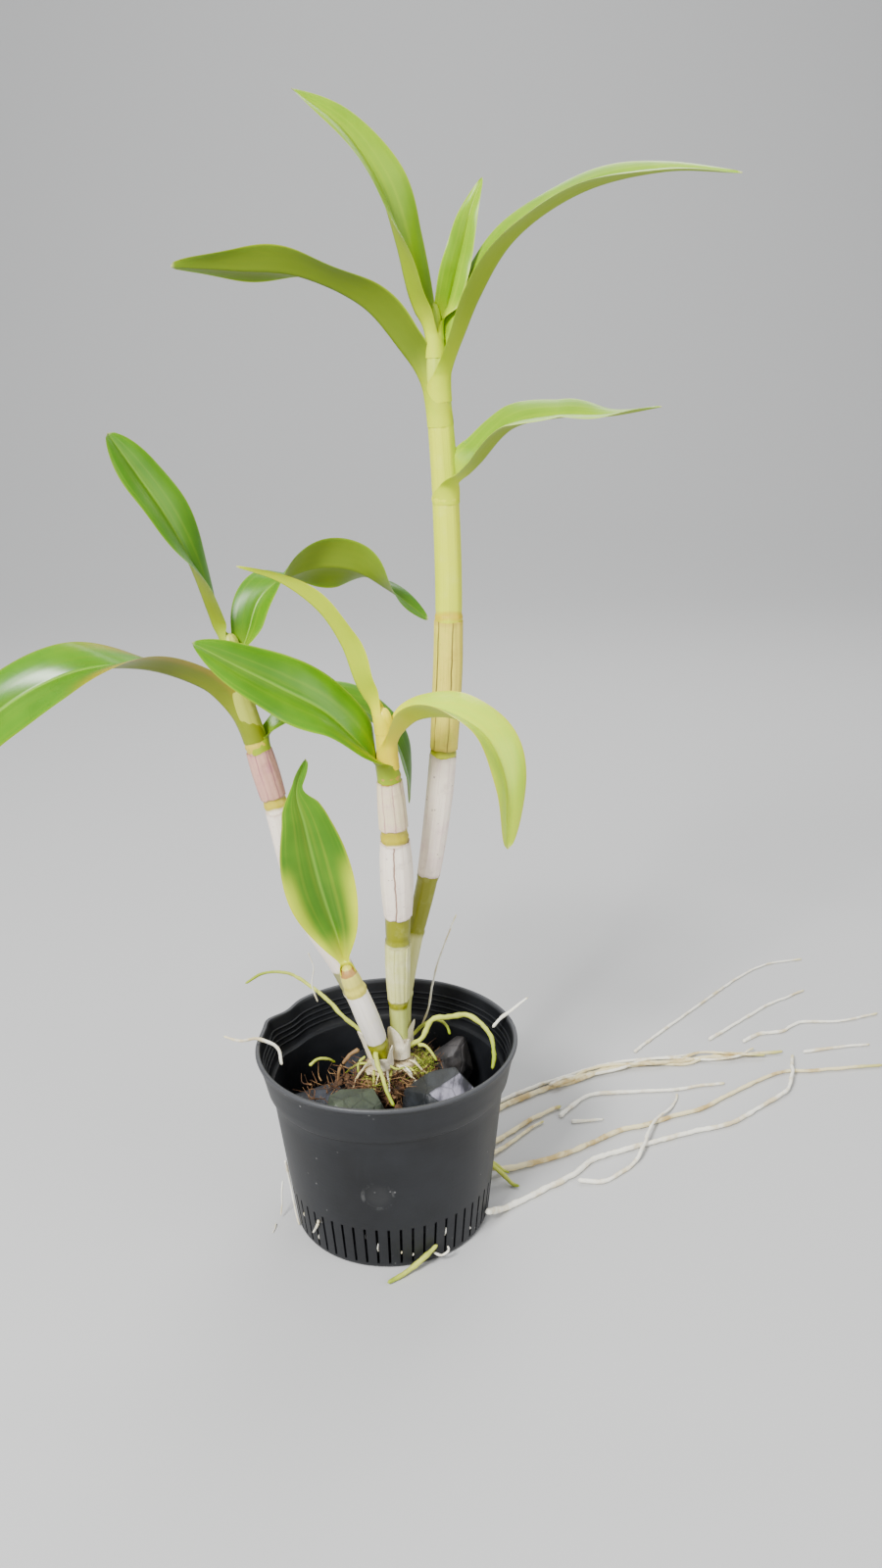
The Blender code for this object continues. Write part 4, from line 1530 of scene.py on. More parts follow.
@dataclass(frozen=True)
class Leaf:
    """A strap leaf: its foot clasps the cane, then the blade folds, rolls and bends along its line.

    reach holds the middle line's points in millimetres from the foot, rolls turn the blade about
    that line and folds lift its halves, both in degrees at even stations.
    """

    node: str
    cane: Cane
    rise: float
    bearing: float
    reach: tuple[Point, ...]
    width: float
    rolls: tuple[float, ...]
    folds: tuple[float, ...]
    finish: LeafFinish
    widest: float = 0.45
    base: float = 0.12
    drop: float = 9.0  # how far below its rise the foot starts to clasp
    wrap: float = 150.0  # how far round the cane the foot starts, in degrees each way
    open_wrap: float = 62.0  # how far round it ends
    clasp: float = 0.1  # the share of the leaf that is foot
    wave: float = 0.5  # how far its edges wave
    waves: float = 3.0
    power: float = 1.3
    faces_round: int = 80
    pinch: float = 0.0  # how much narrower the last eighth is
    blunt: float = 0.0  # the half-width just short of the tip, as a share of the widest

    def build(self) -> None:
        """Makes the leaf as one closed blade."""
        centre, _, _, radius = self.cane.frame_at(self.rise)
        out = polar(self.bearing, radius + LEAF_CLEARANCE + LEAF_THICKNESS / 2, 0)
        root = centre + out
        line = Curve([tuple(root)] + [tuple(root + Vector(point) * MM) for point in self.reach])
        level = polar(self.bearing + 90, 1, 0)
        rolls, folds = values(self.rolls), values(self.folds)
        fade = self.clasp * 1.9

        @lru_cache(maxsize=None)
        def station(w: float) -> Station:
            """Works out what every point across the leaf shares.

            Args:
                w: The share of the leaf, foot and all.

            Returns:
                The station there.
            """
            v = max((w - self.clasp) / (1 - self.clasp), 0.0)
            side, normal = across(line.tangent(v), level)
            roll, fold = radians(rolls.at(v)[0]), radians(folds.at(v)[0])
            turned = side * cos(roll) + normal * sin(roll)
            raised = normal * cos(roll) - side * sin(roll)
            half = self.width * MM / 2 * blade_share(v, self.widest, self.base, self.power)
            half *= 1 - self.pinch * smooth(v, 0.78, 0.88) * (1 - smooth(v, 0.9, 1.0) * 0.5)
            short = max((v - TIP_SHARE) / (1 - TIP_SHARE), 0.0)
            cap = sqrt(1 - short * short) * smooth(v, TIP_SHARE - 0.25, TIP_SHARE)
            half = max(half, self.width * MM / 2 * self.blunt * cap)
            thick = LEAF_THICKNESS * (1 - v**3) + 0.12 * MM
            rise = self.rise - self.drop + (self.drop + 5) * w / fade
            open_share = smooth(w, 0, fade)
            wrap = self.wrap * (1 - open_share) + self.open_wrap * open_share
            stand = 0.02 + 1.1 * open_share
            opened = smooth(w, self.clasp * 0.5, fade)
            return Station(v, line.point(v), turned, raised, half, fold, thick, rise, wrap, stand, opened)

        def spread(u: float) -> float:
            """A column's place across the blade, -1 to 1, closer to the next one near the edges."""
            even = 1 - 4 * u if u <= 0.5 else 4 * u - 3
            return 0.4 * even + 0.6 * cos(tau * u)

        def middle(s: float, w: float) -> tuple[Vector, Vector, float]:
            """Finds the blade's middle surface.

            Args:
                s: The place across it, -1 to 1.
                w: The share of the leaf, foot and all.

            Returns:
                The point, the way up from it and the thickness there.
            """
            at = station(w)
            lift = sqrt(s * s + 0.006) - 0.077
            bulge = 0.07 * (1 - (2 * abs(s) - 1) ** 2)
            phase = self.waves * tau * at.along + (1.3 if s > 0 else 0)
            ripple = self.wave * MM * s * abs(s) * sin(phase)
            blade = at.spot + at.turned * (s * at.half * cos(at.fold))
            blade += at.raised * (lift * at.half * sin(at.fold) + bulge * at.half + ripple)
            tilt = sin(at.fold) * s / sqrt(s * s + 0.02)
            up = (at.raised - at.turned * tilt).normalized()
            thick = at.thick
            if at.opened < 1:
                centre, ahead, radius = self.cane.facing(self.bearing + s * at.wrap, at.rise)
                held = centre + ahead * (radius + at.stand * MM)
                blade = held.lerp(blade, at.opened)
                up = (-ahead).lerp(up, at.opened).normalized()
                thick *= 0.45 + 0.55 * at.opened
            return blade, up, thick

        def place(u: float, v: float) -> Vector:
            """Finds a point on the upper face for u below a half, on the lower one above it.

            Args:
                u: The share of the way round the blade.
                v: The share of the leaf, foot and all.

            Returns:
                The point.
            """
            s = spread(u)
            spot, up, thick = middle(s, v)
            plump = thick * (0.16 + 0.84 * (1 - abs(s)) ** 0.8) / 2 * sqrt(max(1 - s**8, 0))
            open_share = smooth(v, self.clasp, 0.3) * (1 - v)
            if u <= 0.5:
                return spot + up * (plump - 0.45 * MM * hump(s, 0, 0.07) * open_share)
            return spot - up * (plump + 0.4 * MM * hump(s, 0, 0.09) * open_share)

        def remap(u: float, v: float) -> tuple[float, float]:
            """Lets u follow the blade's width, though its columns are closer near the edges."""
            return (1 - spread(u)) / 4 if u <= 0.5 else (3 + spread(u)) / 4, v

        rings = max(round(line.length() / MM * 0.95), 60)
        skin_piece(
            self.node + "_blade", place, self.faces_round, rings, self.finish.material(), Slot.LEAF,
            [self.node], sharp=80, remap=remap,
        )


# ---------------------------------------------------------------- roots

def beside_pot(radius: float, route: Sequence[Point]) -> list[Vector]:
    """Places points beside the pot.

    Args:
        radius: The root's radius in millimetres, by which it lies clear of the floor.
        route: Each point's bearing in degrees, millimetres out from the pot's wall, and lift.

    Returns:
        The places.
    """
    return [
        polar(bearing, body_radius(lift * MM) + out * MM, radius * MM + FLOOR_CLEARANCE + lift * MM)
        for bearing, out, lift in route
    ]


def within_pot(route: Sequence[Point]) -> list[Vector]:
    """Points above the filling, as bearing, share and millimetres over the rim.

    Args:
        route: The points. The share runs from 0 beside the crown to 1 at the wall and 2 at the rim's edge.

    Returns:
        The places.
    """
    wall = SHOULDER_RADIUS - WALL
    to_wall, to_rim = wall - ROOT_START, RIM_RADIUS - wall
    return [
        polar(
            bearing,
            ROOT_START + to_wall * min(share, 1) + to_rim * max(share - 1, 0),
            POT_HEIGHT + over * MM,
        )
        for bearing, share, over in route
    ]


@dataclass(frozen=True)
class Root:
    """One tapering, knobbly root along a smooth curve, rounded at both ends."""

    name: str
    radius: float
    points: list[Vector]
    finish: Material
    node: str | None = None
    tip: float = 0.55  # its radius at the end, as a share of the radius
    heel: float = 1.0  # the same at its start
    sides: int = 12
    knots: float = 0.24  # how knobbly it is
    stray: float = 0.45  # how far it wanders from its curve, in radii
    girth: float = 1.15

    def build(self) -> None:
        """Makes the root."""
        curve = Curve(self.points)
        steps = max(round(curve.length() / (0.9 * MM if self.radius > 0.8 else 0.7 * MM)), 12)
        seed = sum(ord(letter) for letter in self.name) * 0.37
        lowest = min(point.z for point in self.points)

        @lru_cache(maxsize=None)
        def ring(v: float) -> tuple[Vector, Vector, Vector, float]:
            """Works out one ring of the skin.

            Args:
                v: The share of the root's length.

            Returns:
                Its centre, side, normal and radius.
            """
            tangent = curve.tangent(v)
            level = Vector((0, 0, 1)) if abs(tangent.z) < 0.85 else Vector((1, 0, 0))
            side, normal = across(tangent, level)
            centre = curve.point(v)
            drift = self.stray * self.radius * smooth(v, 0, 0.06) * MM
            centre = centre + normal * wobble(centre, 130, seed) * drift
            if lowest > 3 * MM:
                centre = centre + side * wobble(centre, 150, seed + 9) * drift * 0.6
            end = min(v, 1 - v) * steps * 0.5 / max(self.radius, 0.6)
            cap = sqrt(max(1 - (1 - min(end, 1)) ** 2, 0.0))
            heel = self.heel + (1 - self.heel) * smooth(v, 0, 0.4)
            size = self.radius * self.girth * MM * (1 - (1 - self.tip) * v) * heel * cap
            return centre, side, normal, size

        def place(u: float, v: float) -> Vector:
            """Finds a point on the root's skin.

            Args:
                u: The share of a turn.
                v: The share of the root's length.

            Returns:
                The point, kept just off the floor.
            """
            centre, side, normal, size = ring(v)
            out = round_way(side, normal, u)
            spot = centre + out * size
            knob = 1 + self.knots * (wobble(centre, 300, seed) + 0.7 * wobble(spot, 620, seed))
            spot = centre + out * size * min(knob, 1.25)
            spot.z = max(spot.z, 0.05 * MM)
            return spot

        stands_for = [self.node] if self.node else []
        skin_piece(self.name, place, self.sides, steps, self.finish, Slot.ROOT, stands_for)


# name, radius in millimetres, then points: bearing, millimetres out from the pot's wall, lift
GROUND_ROOTS = (
    ("root_near", 1.5,
     [(-24, 2, 8), (-12, 7, 2), (-4, 14, 0), (7, 36, 0), (11.5, 50, 0), (16, 62, 0), (17.2, 80, 0),
      (17.8, 102, 0), (18.2, 127, 0), (18.2, 152, 0), (20.4, 178, 0), (22, 200, 1),
      (24.4, 212, 3.2), (26.6, 221, 2.4), (28.6, 231, 0)]),
    ("root_near_branch", 1.1,
     [(7.5, 49, 1), (6.4, 62, 0), (9, 73, 0), (11.5, 82, 0), (14.5, 90, 2.6), (19.4, 100, 3.6),
      (23, 110, 3), (25.6, 124, 1), (27.2, 133, 0), (29.6, 142, 0)]),
    ("root_middle", 1.4,
     [(23, 2, 6), (22, 14, 1), (21.4, 32, 0), (22.2, 58, 0), (24, 78, 0), (24.6, 92, 0),
      (23.9, 104, 0), (24, 125, 0), (23.8, 146, 0), (25, 168, 0), (26, 192, 0), (26.2, 212, 0),
      (24.4, 232, 0), (23.2, 252, 0), (22, 272, 0)]),
    ("root_cross", 1.2,
     [(38, 70, 0), (39.4, 84, 0), (39.6, 100, 0), (35.4, 119, 0), (31.2, 141, 0), (29.4, 159, 0),
      (28, 174, 0)]),
    ("root_pair_left", 1.5,
     [(37, 2, 12), (40, 12, 3), (42, 28, 0), (42.5, 51, 0), (42, 66, 0), (41, 78, 0)]),
    ("root_pair_right", 1.2, [(31, 2, 10), (34.5, 12, 2), (37, 28, 0), (39, 46, 0), (39.4, 60, 0)]),
    ("root_far", 1.6,
     [(60, 2, 13), (60, 12, 4), (58, 28, 0), (55, 50, 0), (51.5, 70, 0), (48.8, 88, 0),
      (46.8, 102, 0), (45, 116, 0), (43, 132, 0), (39.6, 152, 0), (36.6, 168, 0), (34.8, 184, 0),
      (32.9, 199, 0), (31.2, 215, 0), (29.8, 229, 0)]),
    ("root_far_braid", 1.2,
     [(64, 2, 9), (64, 14, 2), (62, 30, 0), (58, 50, 0), (54.5, 70, 0), (51.4, 88, 0),
      (48.8, 104, 0), (47, 118, 0), (44.8, 134, 0), (41.6, 152, 0), (38.6, 168, 0),
      (36.6, 184, 0)]),
    ("root_far_thin", 0.9,
     [(44, 157, 0), (44.6, 184, 0), (45, 227, 0), (45.3, 264, 0), (45.3, 298, 0), (44.6, 322, 0),
      (42.6, 345, 0)]),
    ("root_far_upper_tip", 1.0,
     [(38.2, 203, 0), (38.6, 233, 0), (38.9, 267, 0), (38.6, 286, 0), (38.3, 305, 0)]),
    ("root_far_lower_tip", 1.1,
     [(34.8, 218, 0), (34.8, 234, 0), (33.6, 248, 0), (33.7, 267, 0), (31.4, 288, 0),
      (30.2, 318, 0)]),
    ("root_green_tip", 1.3, [(16, 2.2, 12), (15.5, 6, 8), (13, 11, 3), (10.5, 15, 0), (8.5, 18, 0)]),
    ("root_front", 1.5, [(-64, 2.2, 10), (-70, 2.6, 6), (-77, 4, 2), (-85, 8, 0), (-91, 12, 0)]),
)

# the same with points as within_pot takes them: bearing, share, millimetres over the rim
POT_ROOTS = (
    ("root_over_front", 1.3, [(-105, 0.1, 0), (-96, 0.25, -4), (-90, 0.42, -8), (-84, 0.62, -14)]),
    ("root_right_wall", 1.5,
     [(16, 0.12, -3), (27, 0.27, 3), (22, 0.43, 4), (19, 0.66, 4), (12, 0.8, 1), (6, 0.89, -3),
      (-3, 0.92, -8), (-13, 0.92, -12)]),
    ("root_fork", 1.0, [(52, 0.16, -8), (44, 0.3, -3), (38, 0.42, -1.5), (32, 0.5, -4), (28, 0.52, -9)]),
    ("root_over_left_rim", 1.1,
     [(136, 0.12, -4), (146, 0.39, 6), (138, 0.66, 6.5), (137, 0.93, 9), (137, 2.14, 11.5),
      (140, 2.84, 14), (145, 3.87, 14), (152, 4.58, 11)]),
    ("root_white_left", 0.9,
     [(-172, 0.9, -10), (-178, 0.95, -3), (-178, 1.92, 2.4), (-174, 2.84, 4.4), (-175, 3.87, 7)]),
    ("root_right_rim_tip", 0.9,
     [(15, 0.96, -4), (16, 1.33, 0), (16.5, 1.92, 2.4), (17, 2.46, 4.8), (17.5, 3.33, 8.5)]),
    ("root_thread", 0.6,
     [(50, 0.3, -6), (46, 0.39, 4.5), (47, 0.48, 16), (44, 0.57, 31), (35, 0.71, 55)]),
)


# where the roots that come from the crown leave it: bearing, radius and rise above it in millimetres
CROWN_STARTS = {
    "root_over_front": (-118, 10.5, 11),
    "root_right_wall": (12, 10.5, 3.5),
    "root_fork": (34, 11, 3),
    "root_over_left_rim": (146, 9.5, 8),
}


class Growth(Enum):
    """The kinds of root skin."""

    WHITE = RootFinish("root_white")
    CREAM = RootFinish(
        "root_cream", tone(230, 218, 172), tone(184, 156, 94), tone(196, 190, 110), 0.05, 0.9)
    GREEN = RootFinish("root_green", tone(190, 198, 78), tone(142, 152, 40), tone(150, 168, 30), 0.2, 0.6)
    BROWN = RootFinish("root_brown", tone(142, 110, 70), tone(92, 64, 38), tone(110, 80, 48), 0.1, 0.8)


# which root wears what, where it isn't white
ROOT_GROWTH = {
    "root_middle": Growth.CREAM,
    "root_pair_left": Growth.CREAM,
    "root_pair_right": Growth.CREAM,
    "root_far": Growth.CREAM,
    "root_green_tip": Growth.GREEN,
    "root_front": Growth.GREEN,
    "root_over_front": Growth.GREEN,
    "root_right_wall": Growth.GREEN,
    "root_fork": Growth.GREEN,
    "root_over_left_rim": Growth.GREEN,
}


# the roots that stand for no node, with points like those of POT_ROOTS
SMALL_POT_ROOTS = (
    ("root_brown_stub", 1.0, Growth.BROWN,
     [(-152, 0.05, -2), (-160, 0.16, -6), (-164, 0.26, -13), (-162, 0.3, -20)]),
    ("root_left_stub", 0.8, Growth.GREEN,
     [(-168, 0.6, -10), (-172, 0.5, -8.5), (-176, 0.38, -10), (178, 0.3, -14)]),
    ("root_moss_stub", 0.9, Growth.GREEN,
     [(4, 0.05, -5), (0, 0.14, -5), (-6, 0.22, -8), (-12, 0.28, -11)]),
    ("root_front_twig", 0.6, Growth.GREEN, [(-84, 0.12, -5), (-76, 0.2, -5), (-66, 0.24, -4)]),
    ("root_left_twig", 0.7, Growth.GREEN, [(-130, 0.06, -3), (-136, 0.13, -6), (-134, 0.16, -11)]),
    ("root_back_thread", 0.4, Growth.WHITE,
     [(140, 0.8, 4), (142, 0.84, 14), (141, 0.82, 24), (143, 0.85, 33)]),
)

# and with points like those of GROUND_ROOTS
SMALL_GROUND_ROOTS = (
    ("root_loose_piece", 1.0, Growth.WHITE, [(34.5, 72, 0), (33, 77, 0), (31.6, 83, 0), (30.4, 89, 0)]),
    ("root_far_end", 1.0, Growth.WHITE, [(28.6, 240, 0), (27.8, 254, 0), (27, 268, 0), (26, 283, 0)]),
    ("root_green_stub", 1.0, Growth.GREEN, [(20, 1.6, 12), (19, 6, 9), (16, 10, 6), (15, 14, 4)]),
    ("root_front_hook", 0.6, Growth.WHITE, [(-66, 1.2, 6), (-62, 3, 4), (-58, 3.4, 5.5), (-58, 2.4, 8)]),
    ("root_left_strand", 0.45, Growth.WHITE,
     [(-176, 5, 18), (-174, 6.5, 12), (-172, 7.5, 6), (-170, 9, 1)]),
    ("root_left_strand_low", 0.35, Growth.WHITE, [(-166, 12, 0.6), (-163, 13, 0.2), (-160, 15, 0)]),
)

# the slits that root ends show in, counted round from the right, those towards the front below 0
SLITS_WITH_ROOTS = (-27, -23, -21, -15, -13, -12, -9, -6, 3, 12)

# bearing, height and millimetres out from the pot's wall
WALL_ROOT = ((-168, 36, 0.9), (-170, 27, 0.9), (-171, 18, 0.9), (-169, 10, 0.9), (-166, 4, 0.9),
             (-160, 1.2, 0.9))
SLIT_STUB = ((-133, 20, -1.0), (-132, 18.5, 1.2), (-134, 15, 1.6), (-137, 11, 1.8))


def against_wall(route: Sequence[Point]) -> list[Vector]:
    """Places points by bearing, height and distance out from the pot's wall, in millimetres."""
    return [
        polar(bearing, body_radius(height * MM) + out * MM, height * MM) for bearing, height, out in route
    ]


@dataclass
class Roots:
    """Every root: those over the filling and the rim, and those that lie beside the pot."""

    small_sides: int = 8
    stub_count: int = 13
    stub_seed: int = 31
    slit_seed: int = 32
    dressed: dict[Growth, Material] = field(default_factory=dict)

    def wear(self, growth: Growth) -> Material:
        """The material of one kind of root, made once."""
        if growth not in self.dressed:
            self.dressed[growth] = growth.value.material()
        return self.dressed[growth]

    def build(self) -> None:
        """Makes the roots that the frame holds, then the small ones beside them."""
        for name, radius, route in GROUND_ROOTS:
            finish = self.wear(ROOT_GROWTH.get(name, Growth.WHITE))
            heel = 0.5 if name == "root_front" else 1.0
            Root(name + "_skin", radius, beside_pot(radius, route), finish, name, heel=heel).build()
        for name, radius, route in POT_ROOTS:
            finish = self.wear(ROOT_GROWTH.get(name, Growth.WHITE))
            points = self.from_crown(name) + within_pot(route)
            sides = self.small_sides if name == "root_thread" else 12
            Root(name + "_skin", radius, points, finish, name, heel=0.75, sides=sides).build()
        self.small_ones()

    @staticmethod
    def from_crown(name: str) -> list[Vector]:
        """Finds where a root over the filling leaves the crown.

        Args:
            name: The root's node.

        Returns:
            That one point, or nothing for a root that comes from elsewhere.
        """
        if name not in CROWN_STARTS:
            return []
        bearing, radius, rise = CROWN_STARTS[name]
        return [polar(bearing, radius * MM, CROWN_TOP + rise * MM)]

    def small_ones(self) -> None:
        """Short stubs, threads and loose ends."""
        for name, radius, growth, route in SMALL_POT_ROOTS:
            Root(name, radius, within_pot(route), self.wear(growth), sides=self.small_sides).build()
        self.stubs()
        self.plies()
        self.slit_ends()
        for name, radius, growth, route in SMALL_GROUND_ROOTS:
            Root(name, radius, beside_pot(radius, route), self.wear(growth), sides=self.small_sides).build()

    def stubs(self) -> None:
        """Short young roots all round the crown but its left back."""
        draw = random.Random(self.stub_seed)
        kinds = (Growth.GREEN, Growth.CREAM, Growth.WHITE)
        for i in range(self.stub_count):
            bearing = -168 + 15 * i + draw.uniform(-5, 5)
            top = CROWN_LOW + draw.uniform(2.5, 5.5) * MM
            bend = draw.uniform(-16, 16)
            reach = draw.uniform(6, 12)
            points = [
                polar(bearing, 8 * MM, top),
                polar(bearing + bend * 0.3, (11 + reach * 0.25) * MM, top + 0.5 * MM),
                polar(bearing + bend * 0.8, (12 + reach * 0.6) * MM, top - draw.uniform(1.5, 4) * MM),
                polar(bearing + bend, (13 + reach * 0.9) * MM, top - draw.uniform(5, 10) * MM),
            ]
            name = f"root_crown_stub_{i + 1}"
            Root(name, draw.uniform(0.55, 0.95), points, self.wear(kinds[i % 3]), sides=10).build()

    def plies(self) -> None:
        """Strands that wind about the far bundle where it is thickest."""
        routes = {name: route for name, _, route in GROUND_ROOTS}
        stretch = routes["root_far"][5:14]
        for ply, (swing, lift) in enumerate(((1.3, 1.6), (-1.2, 2.2), (0.9, 0.6))):
            route = [
                (bearing + swing * sin(1.7 * i + 1.1 * ply), out, lift + 0.7 * cos(1.7 * i + ply))
                for i, (bearing, out, _) in enumerate(stretch)
            ]
            finish = self.wear(Growth.CREAM if ply else Growth.WHITE)
            Root(f"root_far_ply_{ply + 1}", 0.85, beside_pot(0.85, route), finish, tip=0.7).build()

    def slit_ends(self) -> None:
        """Pale root ends that show in the slits, and two that have come out at the left."""
        draw = random.Random(self.slit_seed)
        white = self.wear(Growth.WHITE)
        for i, slit in enumerate(SLITS_WITH_ROOTS):
            bearing = slit * 360 / SLIT_COUNT
            low = draw.uniform(5, 14) * MM
            rise = draw.uniform(2, 6) * MM
            points = [
                polar(bearing, body_radius(low) - 1.4 * MM, low),
                polar(bearing, body_radius(low) + 0.1 * MM, low + rise * 0.5),
                polar(bearing + draw.uniform(-0.5, 0.5), body_radius(low) - 0.1 * MM, low + rise),
            ]
            Root(f"root_slit_end_{i + 1}", 0.36, points, white, sides=self.small_sides, stray=0.0).build()
        escaped = (("root_left_wall", 0.6, WALL_ROOT), ("root_left_slit_stub", 0.75, SLIT_STUB))
        for name, radius, route in escaped:
            Root(name, radius, against_wall(route), white, sides=self.small_sides, stray=0.1).build()


# ---------------------------------------------------------------- the plant

TALL = Cane(
    "tall_cane",
    [(7.5, 10, 0), (8.5, 13, 25), (14.5, 15, 57), (23.5, 16, 95), (31.2, 18, 150), (35.3, 18, 215),
     (35, 15, 275), (32.5, 12, 322), (32, 11, 352)],
    [4.2, 4.3, 4.5, 5.1, 5.9, 6.1, 5.9, 5.0, 1.6],
    (28, 61, 90, 152.5, 217.5, 271),
)
MIDDLE = Cane(
    "middle_cane",
    [(6.4, -1, 0), (6.4, 1, 22), (6.8, -1, 50), (8, -5, 82), (8, -8, 115), (6.6, -12, 150),
     (4.5, -14, 184)],
    [4.0, 4.4, 5.2, 6.2, 6.4, 5.2, 3.6],
    (29.5, 64.5, 120.5, 151.5),
)
LEFT = Cane(
    "left_cane",
    [(-5, 2, 0), (-10, 1, 22), (-20.5, 0, 50), (-36, 0, 81), (-45, 0, 125), (-53, 0, 160), (-60, 0, 190),
     (-63, 0, 216)],
    [4.2, 5.0, 5.4, 5.4, 5.4, 5.4, 4.8, 3.6],
    (37, 82, 135, 164),
)
SHORT = Cane(
    "short_cane",
    [(-1.5, -9, 0), (-4, -11, 14), (-9, -14, 32), (-15, -17, 52), (-17, -18, 60)],
    [4.0, 5.0, 5.6, 4.6, 2.6],
    (13, 46),
)

PALE_STEM = tone(216, 226, 24)
PAPER = tone(255, 240, 220)
OLIVE = tone(132, 134, 0)
YELLOW_RING = tone(206, 180, 0)
GREYED = tone(150, 148, 100)


BAND_CHANGE = 0.004  # the share of a cane over which one band turns into the next


def bands(cane: Cane, stops: Sequence[tuple[float, Colour]]) -> tuple[tuple[float, Colour], ...]:
    """Places a cane's bands.

    Args:
        cane: The cane.
        stops: Each band's end in millimetres above the crown, and its colour.

    Returns:
        The stops of a ramp, each band level with a short change to the next.
    """
    placed = []
    start = 0.0
    for end, colour in stops:
        placed.append((min(start / cane.height + BAND_CHANGE, 1.0), colour))
        placed.append((min(end / cane.height, 1.0), colour))
        start = end
    return tuple(placed)


CANE_BANDS = (
    (TALL, (
        (28, tone(186, 190, 112)), (60, tone(206, 204, 132)), (92, OLIVE), (152, PALE_STEM), (155, OLIVE),
        (216, PALE_STEM), (219.5, YELLOW_RING), (308, PALE_STEM), (352, tone(196, 214, 50)),
    )),
    (MIDDLE, (
        (10, PAPER), (27, tone(190, 200, 104)), (31, OLIVE), (64, tone(204, 206, 144)), (80, OLIVE),
        (118, PAPER), (125, tone(182, 168, 30)), (148, tone(226, 206, 150)), (154.5, tone(196, 160, 44)),
        (184, tone(240, 222, 0)),
    )),
    (LEFT, (
        (37, tone(232, 222, 202)), (50, GREYED), (82, tone(240, 226, 214)), (94, tone(160, 152, 62)),
        (133, PAPER), (138, tone(196, 178, 38)), (161, tone(196, 150, 160)), (165.5, tone(206, 184, 50)),
        (216, tone(176, 182, 62)),
    )),
    (SHORT, (
        (6, tone(228, 216, 182)), (16, OLIVE), (44, tone(246, 238, 226)), (50, tone(210, 200, 80)),
        (55, tone(214, 206, 96)), (58, tone(170, 124, 60)), (60, tone(206, 200, 60)),
    )),
)
PAPERY = dict(ground=PAPER, line=tone(214, 188, 170), speck=tone(122, 80, 62))
SLEEVES = (
    Sheath("tall_papery_sheath", TALL, 91, 151.5, SheathFinish(
        "tall_paper", **PAPERY, blush=tone(240, 208, 206), blush_strength=0.6, speck_strength=0.75)),
    Sheath("tall_ribbed_sheath", TALL, 154.5, 216, SheathFinish(
        "tall_ribbed", tone(226, 208, 74), tone(92, 80, 34), tone(166, 130, 40), 6.0, 0.95, 0.2,
        tone(204, 204, 60), 0.6), seam=0.86, wrinkle=0.22, torn=0.5),
    Sheath("middle_lower_sheath", MIDDLE, 31.5, 63.5, SheathFinish(
        "middle_lower", tone(216, 216, 140), tone(164, 166, 76), tone(160, 140, 86), 7.0, 0.6, 0.3,
        tone(240, 236, 196), 0.6), seam=0.62, wrinkle=0.26),
    Sheath("middle_papery_sheath", MIDDLE, 79, 118.5, SheathFinish(
        "middle_paper", **PAPERY, speck_strength=0.55, seam=0.49), stand_off=0.62, seam=0.49, lap=0.5),
    Sheath("middle_striped_sheath", MIDDLE, 125.5, 149, SheathFinish(
        "middle_striped", tone(234, 216, 176), tone(178, 118, 122), tone(150, 108, 60), 8.0, 0.8, 0.3,
        tone(228, 190, 180), 0.7), seam=0.3),
    Sheath("left_papery_sheath", LEFT, 96, 132, SheathFinish(
        "left_paper", **PAPERY, blush_strength=0.45, speck_strength=0.35), stand_off=0.3),
    Sheath("left_upper_sheath", LEFT, 138.5, 161, SheathFinish(
        "left_mauve", tone(210, 160, 140), tone(146, 84, 100), tone(134, 86, 70), 7.0, 0.75, 0.3,
        tone(188, 122, 132), 0.8), seam=0.2),
)

SCALES = (
    Scale("scale_middle_front", MIDDLE, -128, 0.6, 19, 82, 1.6),
    Scale("scale_middle_right", MIDDLE, -40, 0.6, 11, 60, 1.0),
    Scale("scale_short_foot", SHORT, -100, 0.6, 9, 95, 0.8),
    Scale("scale_short_right", SHORT, -20, 0.6, 13, 50, 1.8),
    Scale("scale_left_foot", LEFT, -140, 0.6, 18, 80, 1.2),
    Scale("scale_left_back", LEFT, 130, 0.6, 12, 70, 1.4),
    Scale("scale_tall_foot", TALL, -20, 0.6, 15, 70, 1.2),
    Scale("scale_tall_back", TALL, 110, 0.6, 20, 75, 1.5),
)

# the colours of young leaves, of grown ones and of grown ones with olive undersides
YOUNG = dict(
    upper=tone(134, 172, 0), mottle_and_shade=tone(104, 146, 0), under=tone(138, 158, 0),
    base=tone(206, 222, 20), rib=tone(180, 204, 20), base_reach=0.3, rib_strength=0.2, shine=0.26,
)
MATURE = dict(
    upper=tone(84, 136, 0), mottle_and_shade=tone(56, 108, 0), under=tone(122, 134, 0),
    base=tone(160, 184, 10), rib=tone(150, 190, 60), rib_strength=0.42,
)
OLIVE_BACKED = {**MATURE, "under": tone(110, 130, 0)}

